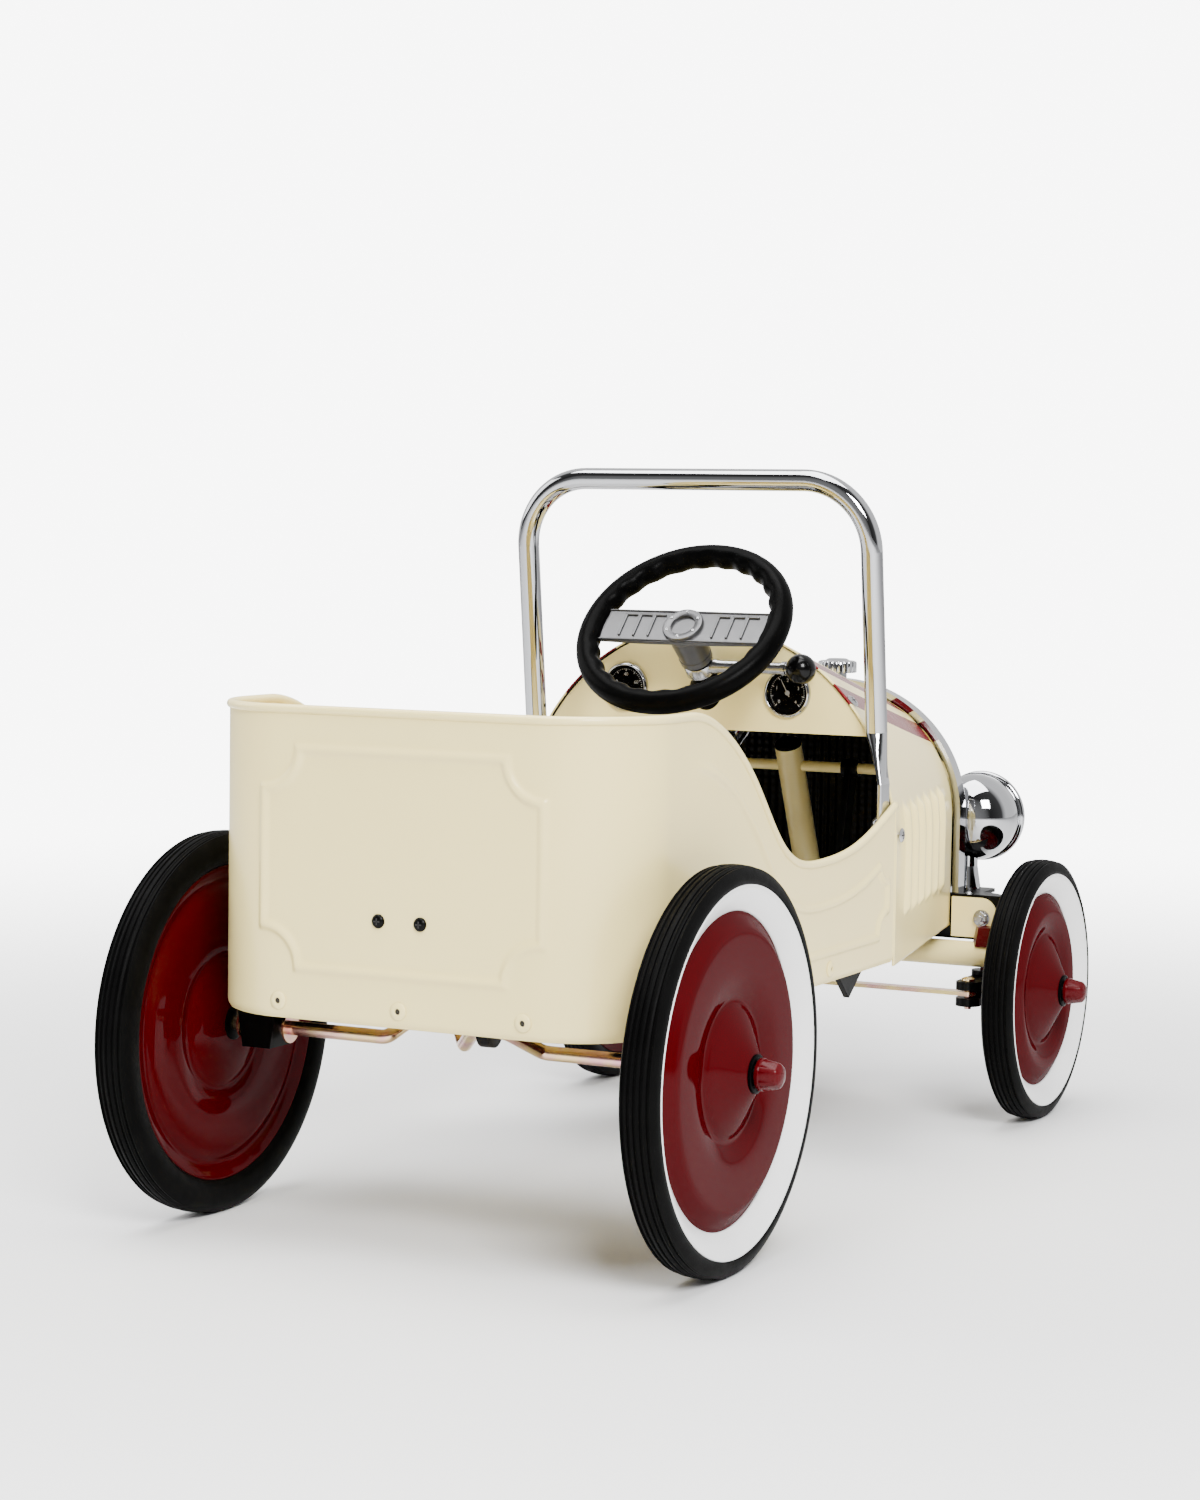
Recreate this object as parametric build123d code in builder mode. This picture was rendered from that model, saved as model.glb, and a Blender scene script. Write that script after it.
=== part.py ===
from build123d import *
from math import cos, radians, sin, sqrt
import os

# Child's pedal car, millimetres. +Z up, the nose points to -Y, +X is the driver's left.
# The origin is on the ground, midway between the ends of the wheels.

# ---- driving dimensions ----
WHEELBASE = 570
REAR_RADIUS = 120
FRONT_RADIUS = 96
REAR_Y = (WHEELBASE - REAR_RADIUS + FRONT_RADIUS) / 2
FRONT_Y = REAR_Y - WHEELBASE
WHEEL_X = 174            # middle of the tyres
TYRE_WIDTH = 24
SHEET = 1.5              # body sheet
FIT = 0.05               # radial clearance of a running fit

TUB_HALF_WIDTH = 145
TUB_REAR_Y = 348
TUB_CORNER = 60
TUB_BOTTOM = 139
TUB_TOP = 326
SEAM_Y = -74             # tub in front of the doors meets the hood here
RIM_DEPTH = 5            # height of the rolled rim
RIM_BEAD = 2             # how far the rim stands proud of the sheet
FOOT_FLANGE = 12         # inward flange under the tub

HOOD_REAR_Y = -76
HOOD_FRONT_Y = -310
HOOD_REAR_ARCH = (145, 152.5, 215)     # half width, height of the arch, its springing line
HOOD_FRONT_ARCH = (100, 95, 220)
HOOD_BOTTOM = 137
DASH_Y = -79             # front face of the dash sheet
DASH_BOTTOM = 293
GAUGE_X = 62
GAUGE_Z = 320.5
GAUGE_RADIUS = 17.5

AXLE_RADIUS = 4.5        # bent rear axle
CRANK_THROW = 30
CRANK_LIFT = 30          # degrees above level, both throws
THROW_LEFT_X = 28
THROW_RIGHT_X = -34
STUB_RADIUS = 4
BEAM_Z = 118
BEAM_RADIUS = 9.5
KINGPIN_X = 134
KINGPIN_RADIUS = 4
STEERING_ARM = 38        # kingpin to tie rod pin
TIE_ROD_Z = 94           # middle of the tie rod's thickness

WHEEL_CENTRE = Vector(0, -39, 364.5)   # steering wheel
COLUMN_AXIS = Vector(0, sin(radians(45)), cos(radians(45)))
STEERING_RADIUS = 77.5
GRIP_RADIUS = 8.5
COLUMN_RADIUS = 5
COLUMN_LENGTH = 315
LEVER_DISTANCE = 38      # steering wheel centre to the lever's collar
COLLAR_RADIUS = 10.8
LEVER_RADIUS = 4
LEVER_BALL = Vector(-78, -61.5, 338)
BALL_RADIUS = 10.5

BAR_HALF_WIDTH = 150
BAR_BOTTOM = 127
BAR_TOP = 161
BAR_BACK_Y = -310.5
SHELL_DEPTH = 15
SHELL_PROUD = 5          # chrome surround outside the hood's outline
LAMP_X = 101.5
LAMP_Y = -355
LAMP_Z = 215.3
LAMP_RADIUS = 33
SEAT_TOP = 212
SEAT_FRONT_Y = 120

POST_TOP = Vector(0, -227, 273)
POST_FOOT = Vector(0, FRONT_Y, BEAM_Z)
POST_RADIUS = 10
PIVOT_Z = 258
PIVOT_Y = POST_TOP.Y + (FRONT_Y - POST_TOP.Y) * (POST_TOP.Z - PIVOT_Z) / (POST_TOP.Z - BEAM_Z)
PIVOT_RADIUS = 4
PEDAL_DROP = 108         # pivot to the rod eye of a pedal arm
PEDAL_SWING = 14         # degrees that each arm hangs from the vertical at rest
ROD_WIDTH = 8            # connecting rods, along X
EYE_RADIUS = 10

RAIL_IN = 52             # front rails, inner and outer sides
RAIL_OUT = 72
RAIL_BOTTOM = 127
RAIL_FRONT_Y = -308

FRAME_TUBE = 7.5         # windshield frame
LEG_X = 130.3
RAKE = 0.126
LEG_FOOT = Vector(LEG_X, -71.5, 297)
FRAME_TOP = 474
FOOT_CENTRE = Vector(139.2, -64, 262)    # top of a windshield leg's flattened foot
FOOT_BOTTOM = 226
FOOT_BOLT_Z = 234

SIDES = {"left": 1, "right": -1}
Y_DIR = Vector(0, 1, 0)

os.makedirs("parts", exist_ok=True)


def save(piece, name):
    piece.part.label = name
    export_step(piece.part, f"parts/{name}.step")


def side_plane(x):
    """Plane square to X at x: its own axes are Y and Z."""
    return Plane.YZ.offset(x)


def cross_plane(y):
    """Plane square to Y at y: its own axes are X and Z."""
    return Plane.XZ.offset(-y)


def along(start, end):
    """Plane at start whose normal points to end."""
    return Plane(origin=start, z_dir=(end - start).normalized())


def column_point(distance):
    """Point on the steering column, measured down from the steering wheel's centre."""
    return WHEEL_CENTRE - COLUMN_AXIS * distance


def arch_size(y):
    """Half width, arch height and springing line of the hood at y."""
    part_way = (y - HOOD_REAR_Y) / (HOOD_FRONT_Y - HOOD_REAR_Y)
    return [a + (b - a) * part_way for a, b in zip(HOOD_REAR_ARCH, HOOD_FRONT_ARCH)]


def arch_outline(y, inset=0, bottom=HOOD_BOTTOM):
    """Hood's section at y, in the section's own axes: straight sides under half an ellipse."""
    half, rise, spring = arch_size(y)
    half = half - inset
    rise = rise - inset
    with BuildSketch() as outline:
        with BuildLine():
            EllipticalCenterArc((0, spring), half, rise, start_angle=0, arc_size=180)
            Polyline((-half, spring), (-half, bottom), (half, bottom), (half, spring))
        make_face()
    return outline.sketch


def tub_outline(inset):
    """Closed plan of the tub: straight sides, rounded rear corners."""
    half = TUB_HALF_WIDTH - inset
    rear = TUB_REAR_Y - inset
    with BuildSketch() as plan:
        with BuildLine():
            FilletPolyline(
                (-half, SEAM_Y), (-half, rear), (half, rear), (half, SEAM_Y),
                radius=TUB_CORNER - inset,
            )
            Line((half, SEAM_Y), (-half, SEAM_Y))
        make_face()
    return plan.sketch


def tub_wall(outer_inset, inner_inset, height, base=TUB_BOTTOM):
    """Upright wall that follows the tub's plan, open towards the nose."""
    with BuildPart() as wall:
        with BuildSketch(Plane.XY.offset(base)):
            add(tub_outline(outer_inset))
            add(tub_outline(inner_inset), mode=Mode.SUBTRACT)
            with Locations((0, SEAM_Y)):
                Rectangle(2 * (TUB_HALF_WIDTH - inner_inset), 40, mode=Mode.SUBTRACT)
        extrude(amount=height)
    return wall.part


def side_block(drop):
    """Everything under the tub's top edge: high back, sweeping down to the doors."""
    with BuildPart() as block:
        with BuildSketch(Plane.YZ):
            with BuildLine():
                Spline(
                    (262, TUB_TOP - drop), (205, 309 - drop), (165, 279 - drop), (125, 240 - drop),
                    (58, 222 - drop), (-10, 228.5 - drop), (SEAM_Y, 250 - drop),
                    tangents=[(-1, 0), (-1, 0.4)],
                )
                Polyline(
                    (SEAM_Y, 250 - drop), (SEAM_Y, TUB_BOTTOM - 20), (TUB_REAR_Y + 20, TUB_BOTTOM - 20),
                    (TUB_REAR_Y + 20, TUB_TOP - drop), (262, TUB_TOP - drop),
                )
            make_face()
        extrude(amount=TUB_HALF_WIDTH + 20, both=True)
    return block.part


def rod(start, end, radius):
    """Plain round bar between two points."""
    with BuildPart() as bar:
        with BuildSketch(along(start, end)):
            Circle(radius)
        extrude(amount=(end - start).length)
    return bar.part


def plate(plane, thickness, points):
    """Flat plate: a polygon on a plane, thickened along the plane's normal."""
    with BuildPart() as sheet:
        with BuildSketch(plane):
            with BuildLine():
                Polyline(*points, close=True)
            make_face()
        extrude(amount=thickness)
    return sheet.part


def turned(origin, axis, points):
    """Solid of revolution: points are (distance along the axis, radius)."""
    plane = Plane(origin=origin, x_dir=axis, z_dir=axis.cross(Vector(0.3, 0.5, 0.8)))
    with BuildPart() as solid:
        with BuildSketch(plane):
            with BuildLine():
                Polyline(*points, close=True)
            make_face()
        revolve(axis=Axis(origin, axis))
    return solid.part


# ---- fasteners: the panels are drilled for their shanks ----
OUT_BACK = Vector(0, 1, 0)
OUT_LEFT = Vector(1, 0, 0)
SEAT_SCREW_SPOTS = [
    (Vector(-14, TUB_REAR_Y, 202), OUT_BACK),
    (Vector(14, TUB_REAR_Y, 202), OUT_BACK),
    (Vector(TUB_HALF_WIDTH, 274, 201), OUT_LEFT),
    (Vector(-TUB_HALF_WIDTH, 274, 201), -OUT_LEFT),
]
BODY_SCREW_SPOTS = [
    (Vector(-82, TUB_REAR_Y, 150), OUT_BACK),
    (Vector(0, TUB_REAR_Y, 150), OUT_BACK),
    (Vector(82, TUB_REAR_Y, 150), OUT_BACK),
    (Vector(TUB_HALF_WIDTH, 40, 149), OUT_LEFT),
    (Vector(-TUB_HALF_WIDTH, 40, 149), -OUT_LEFT),
    (Vector(TUB_HALF_WIDTH, 200, 149), OUT_LEFT),
    (Vector(-TUB_HALF_WIDTH, 200, 149), -OUT_LEFT),
]


def screws(spots, head_radius, head_height, shank_radius, shank_length):
    """Pan-head screws at (point on the sheet, outward direction)."""
    with BuildPart() as group:
        for point, outward in spots:
            add(turned(point, outward, [
                (-shank_length, 0), (-shank_length, shank_radius), (0, shank_radius), (0, head_radius),
                (head_height * 0.5, head_radius), (head_height, head_radius * 0.6), (head_height, 0),
            ]))
    return group


seat_screws = screws(SEAT_SCREW_SPOTS, 4.2, 2.6, 2.2, 6)
save(seat_screws, "seat_screws")
body_screws = screws(BODY_SCREW_SPOTS, 5.5, 1.8, 2, 7)
save(body_screws, "body_screws")

# ---- plated fasteners: lug bolts, windshield bolts, hood screws ----
with BuildPart() as plated_screws:
    for side in SIDES.values():
        bolt = Vector(side * 126, BAR_BACK_Y + 2.5, 144)
        add(turned(bolt, Y_DIR, [
            (-6, 0), (-6, 2.5), (0, 2.5), (0, 6.5), (1, 6.5),
            (1, 5), (4.5, 5), (4.5, 2.5), (6.5, 2.5), (6.5, 0),
        ]))
        foot_bolt = Vector(side * (FOOT_CENTRE.X - 2), FOOT_CENTRE.Y, FOOT_BOLT_Z)
        add(turned(foot_bolt, Vector(-side, 0, 0), [
            (-6, 0), (-6, 3), (0, 3), (0, 7), (3, 6), (5, 3), (5, 0),
        ]))
        seam_screw = Vector(side * 144.2, -85, 226)
        add(turned(seam_screw, Vector(side, 0, 0), [
            (-4, 0), (-4, 2), (0, 2), (0, 5.2), (1.2, 5), (2.2, 3.5), (2.2, 0),
        ]))
        around = Vector(side * cos(radians(42)), 0, sin(radians(42)))
        arch_point = Vector(side * 143.3 * cos(radians(42)), -85, 215.2 + 150.3 * sin(radians(42)))
        add(turned(arch_point, around, [
            (-4, 0), (-4, 2), (0, 2), (0, 4.5), (1.2, 4.2), (2.2, 3), (2.2, 0),
        ]))
save(plated_screws, "plated_screws")

# ---- body tub ----
with BuildPart() as tub_rim:
    add(tub_wall(-RIM_BEAD, SHEET + RIM_BEAD, TUB_TOP - TUB_BOTTOM + 1))
    add(side_block(0), mode=Mode.INTERSECT)
    add(side_block(RIM_DEPTH), mode=Mode.SUBTRACT)

with BuildPart() as body_tub:
    add(tub_wall(0, SHEET, TUB_TOP - TUB_BOTTOM + 1))
    add(side_block(0), mode=Mode.INTERSECT)
    add(tub_wall(0, FOOT_FLANGE, SHEET))
    add(tub_rim.part)
    add(seat_screws.part, mode=Mode.SUBTRACT)
    add(body_screws.part, mode=Mode.SUBTRACT)
save(body_tub, "body_tub")

# ---- seat: pressed pan with down-turned edges ----
with BuildPart() as seat_pan:
    with BuildSketch(Plane.XY.offset(SEAT_TOP - SHEET)):
        add(tub_outline(SHEET))
    extrude(amount=SHEET)
    add(tub_wall(SHEET, 2 * SHEET, 22, SEAT_TOP - 22))
    with BuildSketch(Plane.XY.offset(SEAT_TOP - 40)):
        with Locations((0, (SEAT_FRONT_Y + SEAM_Y) / 2 - 10)):
            Rectangle(4 * TUB_HALF_WIDTH, SEAT_FRONT_Y - SEAM_Y + 20)
    extrude(amount=50, mode=Mode.SUBTRACT)
    with BuildSketch(Plane.XY.offset(SEAT_TOP - 18)):
        with Locations((0, SEAT_FRONT_Y + SHEET / 2)):
            Rectangle(2 * (TUB_HALF_WIDTH - SHEET), SHEET)
    extrude(amount=18)
    add(seat_screws.part, mode=Mode.SUBTRACT)
save(seat_pan, "seat_pan")

# ---- chassis frame: angle round the tub's foot, two front rails, gussets ----
FRAME_BASE = TUB_BOTTOM + SHEET
with BuildPart() as chassis_frame:
    add(tub_wall(SHEET, SHEET + 2.5, 18, FRAME_BASE))
    add(tub_wall(SHEET, 20, 2.5, FRAME_BASE))
    for side in SIDES.values():
        with BuildSketch(Plane.XY.offset(FRAME_BASE)):
            with Locations((side * (RAIL_IN + TUB_HALF_WIDTH - SHEET) / 2, SEAM_Y + 12)):
                Rectangle(TUB_HALF_WIDTH - SHEET - RAIL_IN, 24)
        extrude(amount=2.5)
        with BuildSketch(Plane.XY.offset(RAIL_BOTTOM)):
            with Locations((side * (RAIL_IN + RAIL_OUT) / 2, (SEAM_Y + 24 + RAIL_FRONT_Y) / 2)):
                Rectangle(RAIL_OUT - RAIL_IN, SEAM_Y + 24 - RAIL_FRONT_Y)
        extrude(amount=FRAME_BASE + 2.5 - RAIL_BOTTOM)
        add(plate(side_plane(side * 129 - 2), 4, [(-6, 141), (-56, 141), (-56, 138), (-30, 120)]))
    add(rod(Vector(-90, FRONT_Y, BEAM_Z), Vector(90, FRONT_Y, BEAM_Z), BEAM_RADIUS), mode=Mode.SUBTRACT)
    add(body_screws.part, mode=Mode.SUBTRACT)
save(chassis_frame, "chassis_frame")

# ---- hood ----
with BuildPart() as hood_panel:
    with BuildSketch(cross_plane(HOOD_REAR_Y)):
        add(arch_outline(HOOD_REAR_Y))
    with BuildSketch(cross_plane(HOOD_FRONT_Y)):
        add(arch_outline(HOOD_FRONT_Y))
    loft()
    with BuildSketch(cross_plane(HOOD_REAR_Y)):
        add(arch_outline(HOOD_REAR_Y, SHEET, HOOD_BOTTOM - 1))
    with BuildSketch(cross_plane(HOOD_FRONT_Y)):
        add(arch_outline(HOOD_FRONT_Y, SHEET, HOOD_BOTTOM - 1))
    loft(mode=Mode.SUBTRACT)
    add(plated_screws.part, mode=Mode.SUBTRACT)
save(hood_panel, "hood_panel")

# ---- dash ----
with BuildPart() as dash_panel:
    with BuildSketch(cross_plane(DASH_Y + SHEET)):
        add(arch_outline(DASH_Y, SHEET + 0.3))
        with Locations((0, DASH_BOTTOM - 100)):
            Rectangle(400, 200, mode=Mode.SUBTRACT)
        with Locations((GAUGE_X, GAUGE_Z), (-GAUGE_X, GAUGE_Z)):
            Circle(GAUGE_RADIUS - 2, mode=Mode.SUBTRACT)
    extrude(amount=SHEET)
    add(rod(column_point(30), column_point(80), COLUMN_RADIUS + 2), mode=Mode.SUBTRACT)
save(dash_panel, "dash_panel")

with BuildPart() as gauge_bezels:
    for side in SIDES.values():
        add(turned(Vector(side * GAUGE_X, DASH_Y + SHEET, GAUGE_Z), Y_DIR, [
            (0, 14.8), (0, GAUGE_RADIUS), (1.5, GAUGE_RADIUS), (3.5, 16), (3.5, 15.2), (1.5, 14.8),
        ]))
save(gauge_bezels, "gauge_bezels")

with BuildPart() as gauge_faces:
    for side in SIDES.values():
        add(turned(Vector(side * GAUGE_X, DASH_Y + SHEET, GAUGE_Z), Y_DIR, [
            (-8, 0), (-8, 15.4), (-0.1, 15.4), (-0.1, 14.7), (0.6, 14.7), (0.6, 0),
        ]))
save(gauge_faces, "gauge_faces")

with BuildPart() as column_boot:
    add(turned(WHEEL_CENTRE, -COLUMN_AXIS, [
        (44.5, COLUMN_RADIUS + 0.6), (44.5, 7), (50, 9), (58, 14), (70, 14), (70, COLUMN_RADIUS + 0.6),
    ]))
    with BuildSketch(cross_plane(DASH_Y + SHEET)):
        Rectangle(900, 900)
    extrude(amount=100, mode=Mode.SUBTRACT)
save(column_boot, "column_boot")

# ---- windshield frame: bent tube with flattened feet ----
lean = sqrt(1 + RAKE ** 2)
frame_plane = Plane(
    origin=(0, LEG_FOOT.Y, LEG_FOOT.Z), x_dir=(1, 0, 0), z_dir=(0, -1 / lean, RAKE / lean)
)
leg_height = (FRAME_TOP - FRAME_TUBE - LEG_FOOT.Z) * lean
leg_up = Vector(0, RAKE / lean, 1 / lean)
with BuildPart() as windshield_frame:
    with BuildLine(frame_plane) as hoop:
        FilletPolyline(
            (LEG_X, 0), (LEG_X, leg_height), (-LEG_X, leg_height), (-LEG_X, 0), radius=48,
        )
    with BuildSketch(Plane(origin=LEG_FOOT, x_dir=(1, 0, 0), z_dir=leg_up)):
        Circle(FRAME_TUBE)
        Circle(FRAME_TUBE - 1.2, mode=Mode.SUBTRACT)
    sweep(path=hoop.wire())
    for side in SIDES.values():
        with BuildSketch(Plane(origin=(side * LEG_X, LEG_FOOT.Y, LEG_FOOT.Z), x_dir=(1, 0, 0), z_dir=leg_up)):
            Circle(FRAME_TUBE)
        with BuildSketch(Plane.XY.offset(FOOT_CENTRE.Z)):
            with Locations((side * FOOT_CENTRE.X, FOOT_CENTRE.Y)):
                RectangleRounded(4, 16, 1.9)
        loft()
        with BuildSketch(Plane.XY.offset(FOOT_BOTTOM)):
            with Locations((side * FOOT_CENTRE.X, FOOT_CENTRE.Y)):
                RectangleRounded(4, 16, 1.9)
        extrude(amount=FOOT_CENTRE.Z - FOOT_BOTTOM)
        vent = Vector(side * LEG_X, LEG_FOOT.Y + RAKE * 8, LEG_FOOT.Z + 8)
        add(rod(vent, vent - Vector(side * 12, 0, 0), 1.5), mode=Mode.SUBTRACT)
        bolt_hole = Vector(side * 130, FOOT_CENTRE.Y, FOOT_BOLT_Z)
        add(rod(bolt_hole, bolt_hole + Vector(side * 15, 0, 0), 3), mode=Mode.SUBTRACT)
save(windshield_frame, "windshield_frame")

# ---- radiator ----
shell_back = BAR_BACK_Y - 3
with BuildPart() as radiator_shell:
    with BuildSketch(cross_plane(shell_back)):
        add(arch_outline(HOOD_FRONT_Y, -SHELL_PROUD, BAR_TOP))
        add(arch_outline(HOOD_FRONT_Y, 6, BAR_TOP + 12), mode=Mode.SUBTRACT)
    extrude(amount=SHELL_DEPTH)
    fillet(radiator_shell.edges().group_by(Axis.Y)[0], 2.5)
save(radiator_shell, "radiator_shell")

with BuildPart() as radiator_grille:
    with BuildSketch(cross_plane(shell_back - SHELL_DEPTH + 5)):
        add(arch_outline(HOOD_FRONT_Y, 6, BAR_TOP + 12))
        with Locations((0, 240)):
            with GridLocations(9, 1, 19, 1):
                Rectangle(5.5, 120, mode=Mode.SUBTRACT)
    extrude(amount=1.5)
    with BuildSketch(cross_plane(shell_back - SHELL_DEPTH + 5)):
        add(arch_outline(HOOD_FRONT_Y, 6, BAR_TOP + 12))
        add(arch_outline(HOOD_FRONT_Y, 12, BAR_TOP + 18), mode=Mode.SUBTRACT)
    extrude(amount=1.5)
save(radiator_grille, "radiator_grille")

cap_y = shell_back - SHELL_DEPTH / 2
cap_base = sum(HOOD_FRONT_ARCH[1:]) + SHELL_PROUD
with BuildPart() as radiator_cap:
    add(turned(Vector(0, cap_y, cap_base), Vector(0, 0, 1), [
        (0, 0), (0, 7.5), (4, 7.5), (4, 15), (13, 15), (15, 12), (15, 0),
    ]))
save(radiator_cap, "radiator_cap")

# ---- headlight bar, lugs, lamps ----
shelf_front = LAMP_Y - 8
with BuildPart() as headlight_bar:
    with BuildSketch(cross_plane(BAR_BACK_Y)):
        with BuildLine():
            Polyline(
                (-BAR_HALF_WIDTH, BAR_TOP), (-BAR_HALF_WIDTH, BAR_BOTTOM + 12),
                (-BAR_HALF_WIDTH + 12, BAR_BOTTOM), (BAR_HALF_WIDTH - 12, BAR_BOTTOM),
                (BAR_HALF_WIDTH, BAR_BOTTOM + 12), (BAR_HALF_WIDTH, BAR_TOP), close=True,
            )
        make_face()
    extrude(amount=2.5)
    with BuildSketch(Plane.XY.offset(BAR_TOP - 2.5)):
        with BuildLine():
            Polyline(
                (-BAR_HALF_WIDTH, BAR_BACK_Y), (BAR_HALF_WIDTH, BAR_BACK_Y),
                (BAR_HALF_WIDTH, BAR_BACK_Y - 2.5),
                (LAMP_X + 26, BAR_BACK_Y - 20), (-LAMP_X - 26, BAR_BACK_Y - 20),
                (-BAR_HALF_WIDTH, BAR_BACK_Y - 2.5), close=True,
            )
        make_face()
        for side in SIDES.values():
            with Locations((side * LAMP_X, (BAR_BACK_Y + shelf_front) / 2)):
                RectangleRounded(34, BAR_BACK_Y - shelf_front, 5)
    extrude(amount=2.5)
    add(plated_screws.part, mode=Mode.SUBTRACT)
save(headlight_bar, "headlight_bar")

with BuildPart() as lug_plates:
    with BuildSketch(cross_plane(BAR_BACK_Y + 2.5)):
        for side in SIDES.values():
            with Locations((side * 111, 144)):
                Rectangle(18, 30)
            with Locations((side * 120, 144)):
                RectangleRounded(34, 30, 12)
        with Locations((126, 144), (-126, 144)):
            Circle(2.5, mode=Mode.SUBTRACT)
    extrude(amount=2.5)
save(lug_plates, "lug_plates")

with BuildPart() as headlight_stands:
    for side in SIDES.values():
        base = Vector(side * LAMP_X, LAMP_Y + 10, BAR_TOP)
        add(turned(base, Vector(0, 0, 1), [(0, 0), (0, 9.5), (2, 9.5), (18, 7), (30, 7), (30, 0)]))
        lamp = Vector(side * LAMP_X, LAMP_Y, LAMP_Z)
        add(turned(lamp, Y_DIR, [(-60, 0), (-60, LAMP_RADIUS), (0, LAMP_RADIUS), (0, 0)]), mode=Mode.SUBTRACT)
        add(Pos(lamp) * Sphere(LAMP_RADIUS, mode=Mode.PRIVATE), mode=Mode.SUBTRACT)
save(headlight_stands, "headlight_stands")

with BuildPart() as headlight_bowls:
    for side in SIDES.values():
        lamp = Vector(side * LAMP_X, LAMP_Y, LAMP_Z)
        with BuildSketch(Plane(origin=lamp, x_dir=(0, 1, 0), z_dir=(-1, 0, 0))):
            with BuildLine():
                EllipticalCenterArc((0, 0), 26, LAMP_RADIUS, start_angle=0, arc_size=90)
                Polyline(
                    (0, LAMP_RADIUS), (-15, LAMP_RADIUS - 1), (-15, LAMP_RADIUS + 1.5),
                    (-20, LAMP_RADIUS + 1), (-20, LAMP_RADIUS - 2.5), (0, LAMP_RADIUS - SHEET),
                )
                EllipticalCenterArc((0, 0), 26 - SHEET, LAMP_RADIUS - SHEET, start_angle=0, arc_size=90)
                Line((26 - SHEET, 0), (26, 0))
            make_face()
        revolve(axis=Axis(lamp, (0, 1, 0)))
save(headlight_bowls, "headlight_bowls")

with BuildPart() as headlight_lenses:
    for side in SIDES.values():
        add(turned(Vector(side * LAMP_X, LAMP_Y, LAMP_Z), -Y_DIR, [
            (17, 0), (17, 30.2), (20, 30.2), (22.5, 25), (25, 14), (25.8, 0),
        ]))
save(headlight_lenses, "headlight_lenses")

# ---- front axle beam and kingpins ----
with BuildPart() as front_axle_beam:
    add(rod(Vector(-144, FRONT_Y, BEAM_Z), Vector(144, FRONT_Y, BEAM_Z), BEAM_RADIUS))
    for side in SIDES.values():
        pin = Vector(side * KINGPIN_X, FRONT_Y, BEAM_Z)
        add(rod(pin - Vector(0, 0, 20), pin + Vector(0, 0, 20), KINGPIN_RADIUS), mode=Mode.SUBTRACT)
save(front_axle_beam, "front_axle_beam")

with BuildPart() as kingpins:
    for side in SIDES.values():
        pin = Vector(side * KINGPIN_X, FRONT_Y, 0)
        add(turned(pin, Vector(0, 0, 1), [
            (82, 0), (82, KINGPIN_RADIUS), (127.6, KINGPIN_RADIUS), (127.6, 0),
        ]))
        with BuildSketch(Plane(origin=pin + Vector(0, 0, 125))):
            RegularPolygon(11, 6)
        extrude(amount=14, taper=10)
    add(rod(Vector(-150, FRONT_Y, BEAM_Z), Vector(-112, FRONT_Y, BEAM_Z), BEAM_RADIUS), mode=Mode.SUBTRACT)
    add(rod(Vector(112, FRONT_Y, BEAM_Z), Vector(150, FRONT_Y, BEAM_Z), BEAM_RADIUS), mode=Mode.SUBTRACT)
    for side in SIDES.values():
        pin = Vector(side * KINGPIN_X, FRONT_Y, 82)
        add(rod(pin, pin + Vector(0, 0, 46), KINGPIN_RADIUS))
save(kingpins, "kingpins")

# ---- upright post with the column's lower bearing, and the pedals' pivot rod ----
pivot_left = Vector(104, PIVOT_Y, PIVOT_Z)
pivot_right = Vector(-104, PIVOT_Y, PIVOT_Z)
with BuildPart() as upright_post:
    add(rod(POST_FOOT, POST_TOP, POST_RADIUS))
    add(rod(POST_FOOT, POST_TOP + (POST_TOP - POST_FOOT) * 0.1, POST_RADIUS - SHEET), mode=Mode.SUBTRACT)
    add(plate(side_plane(-2.5), 5, [(-243, 170), (-243, 157), (-272, 157), (-269, 171)]))
    add(rod(column_point(279), column_point(291), 9))
    add(rod(column_point(270), column_point(300), COLUMN_RADIUS + FIT), mode=Mode.SUBTRACT)
    add(rod(Vector(-20, FRONT_Y, BEAM_Z), Vector(20, FRONT_Y, BEAM_Z), BEAM_RADIUS), mode=Mode.SUBTRACT)
    add(rod(pivot_left, pivot_right, PIVOT_RADIUS), mode=Mode.SUBTRACT)
    with BuildSketch(Plane.XY.offset(BEAM_Z)):
        with Locations((0, FRONT_Y)):
            Rectangle(60, 60)
    extrude(amount=-40, mode=Mode.SUBTRACT)
save(upright_post, "upright_post")

with BuildPart() as pedal_pivot_rod:
    add(rod(pivot_left, pivot_right, PIVOT_RADIUS))
save(pedal_pivot_rod, "pedal_pivot_rod")

# ---- rear axle: bearing blocks and the bent crank rod ----
with BuildPart() as bearing_blocks:
    for side in SIDES.values():
        with BuildSketch(cross_plane(REAR_Y + 13)):
            with BuildLine():
                Polyline(
                    (side * 122, TUB_BOTTOM), (side * 127, 108), (side * 147, 108),
                    (side * 152, TUB_BOTTOM), close=True,
                )
            make_face()
        extrude(amount=26)
        with BuildSketch(Plane.XY.offset(TUB_BOTTOM)):
            with Locations((side * 121, REAR_Y)):
                Rectangle(50, 32)
        extrude(amount=-3.5)
    axle_left = Vector(160, REAR_Y, REAR_RADIUS)
    axle_right = Vector(-160, REAR_Y, REAR_RADIUS)
    add(rod(axle_left, axle_right, AXLE_RADIUS + FIT), mode=Mode.SUBTRACT)
save(bearing_blocks, "bearing_blocks")


def crank_point(x, forward):
    """Point on the crank at x: forward is 1 on the left throw, -1 on the right, 0 on the axle line."""
    ahead = CRANK_THROW * cos(radians(CRANK_LIFT)) * forward
    lift = CRANK_THROW * sin(radians(CRANK_LIFT)) * abs(forward)
    return (x, REAR_Y - ahead, REAR_RADIUS + lift)


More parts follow.
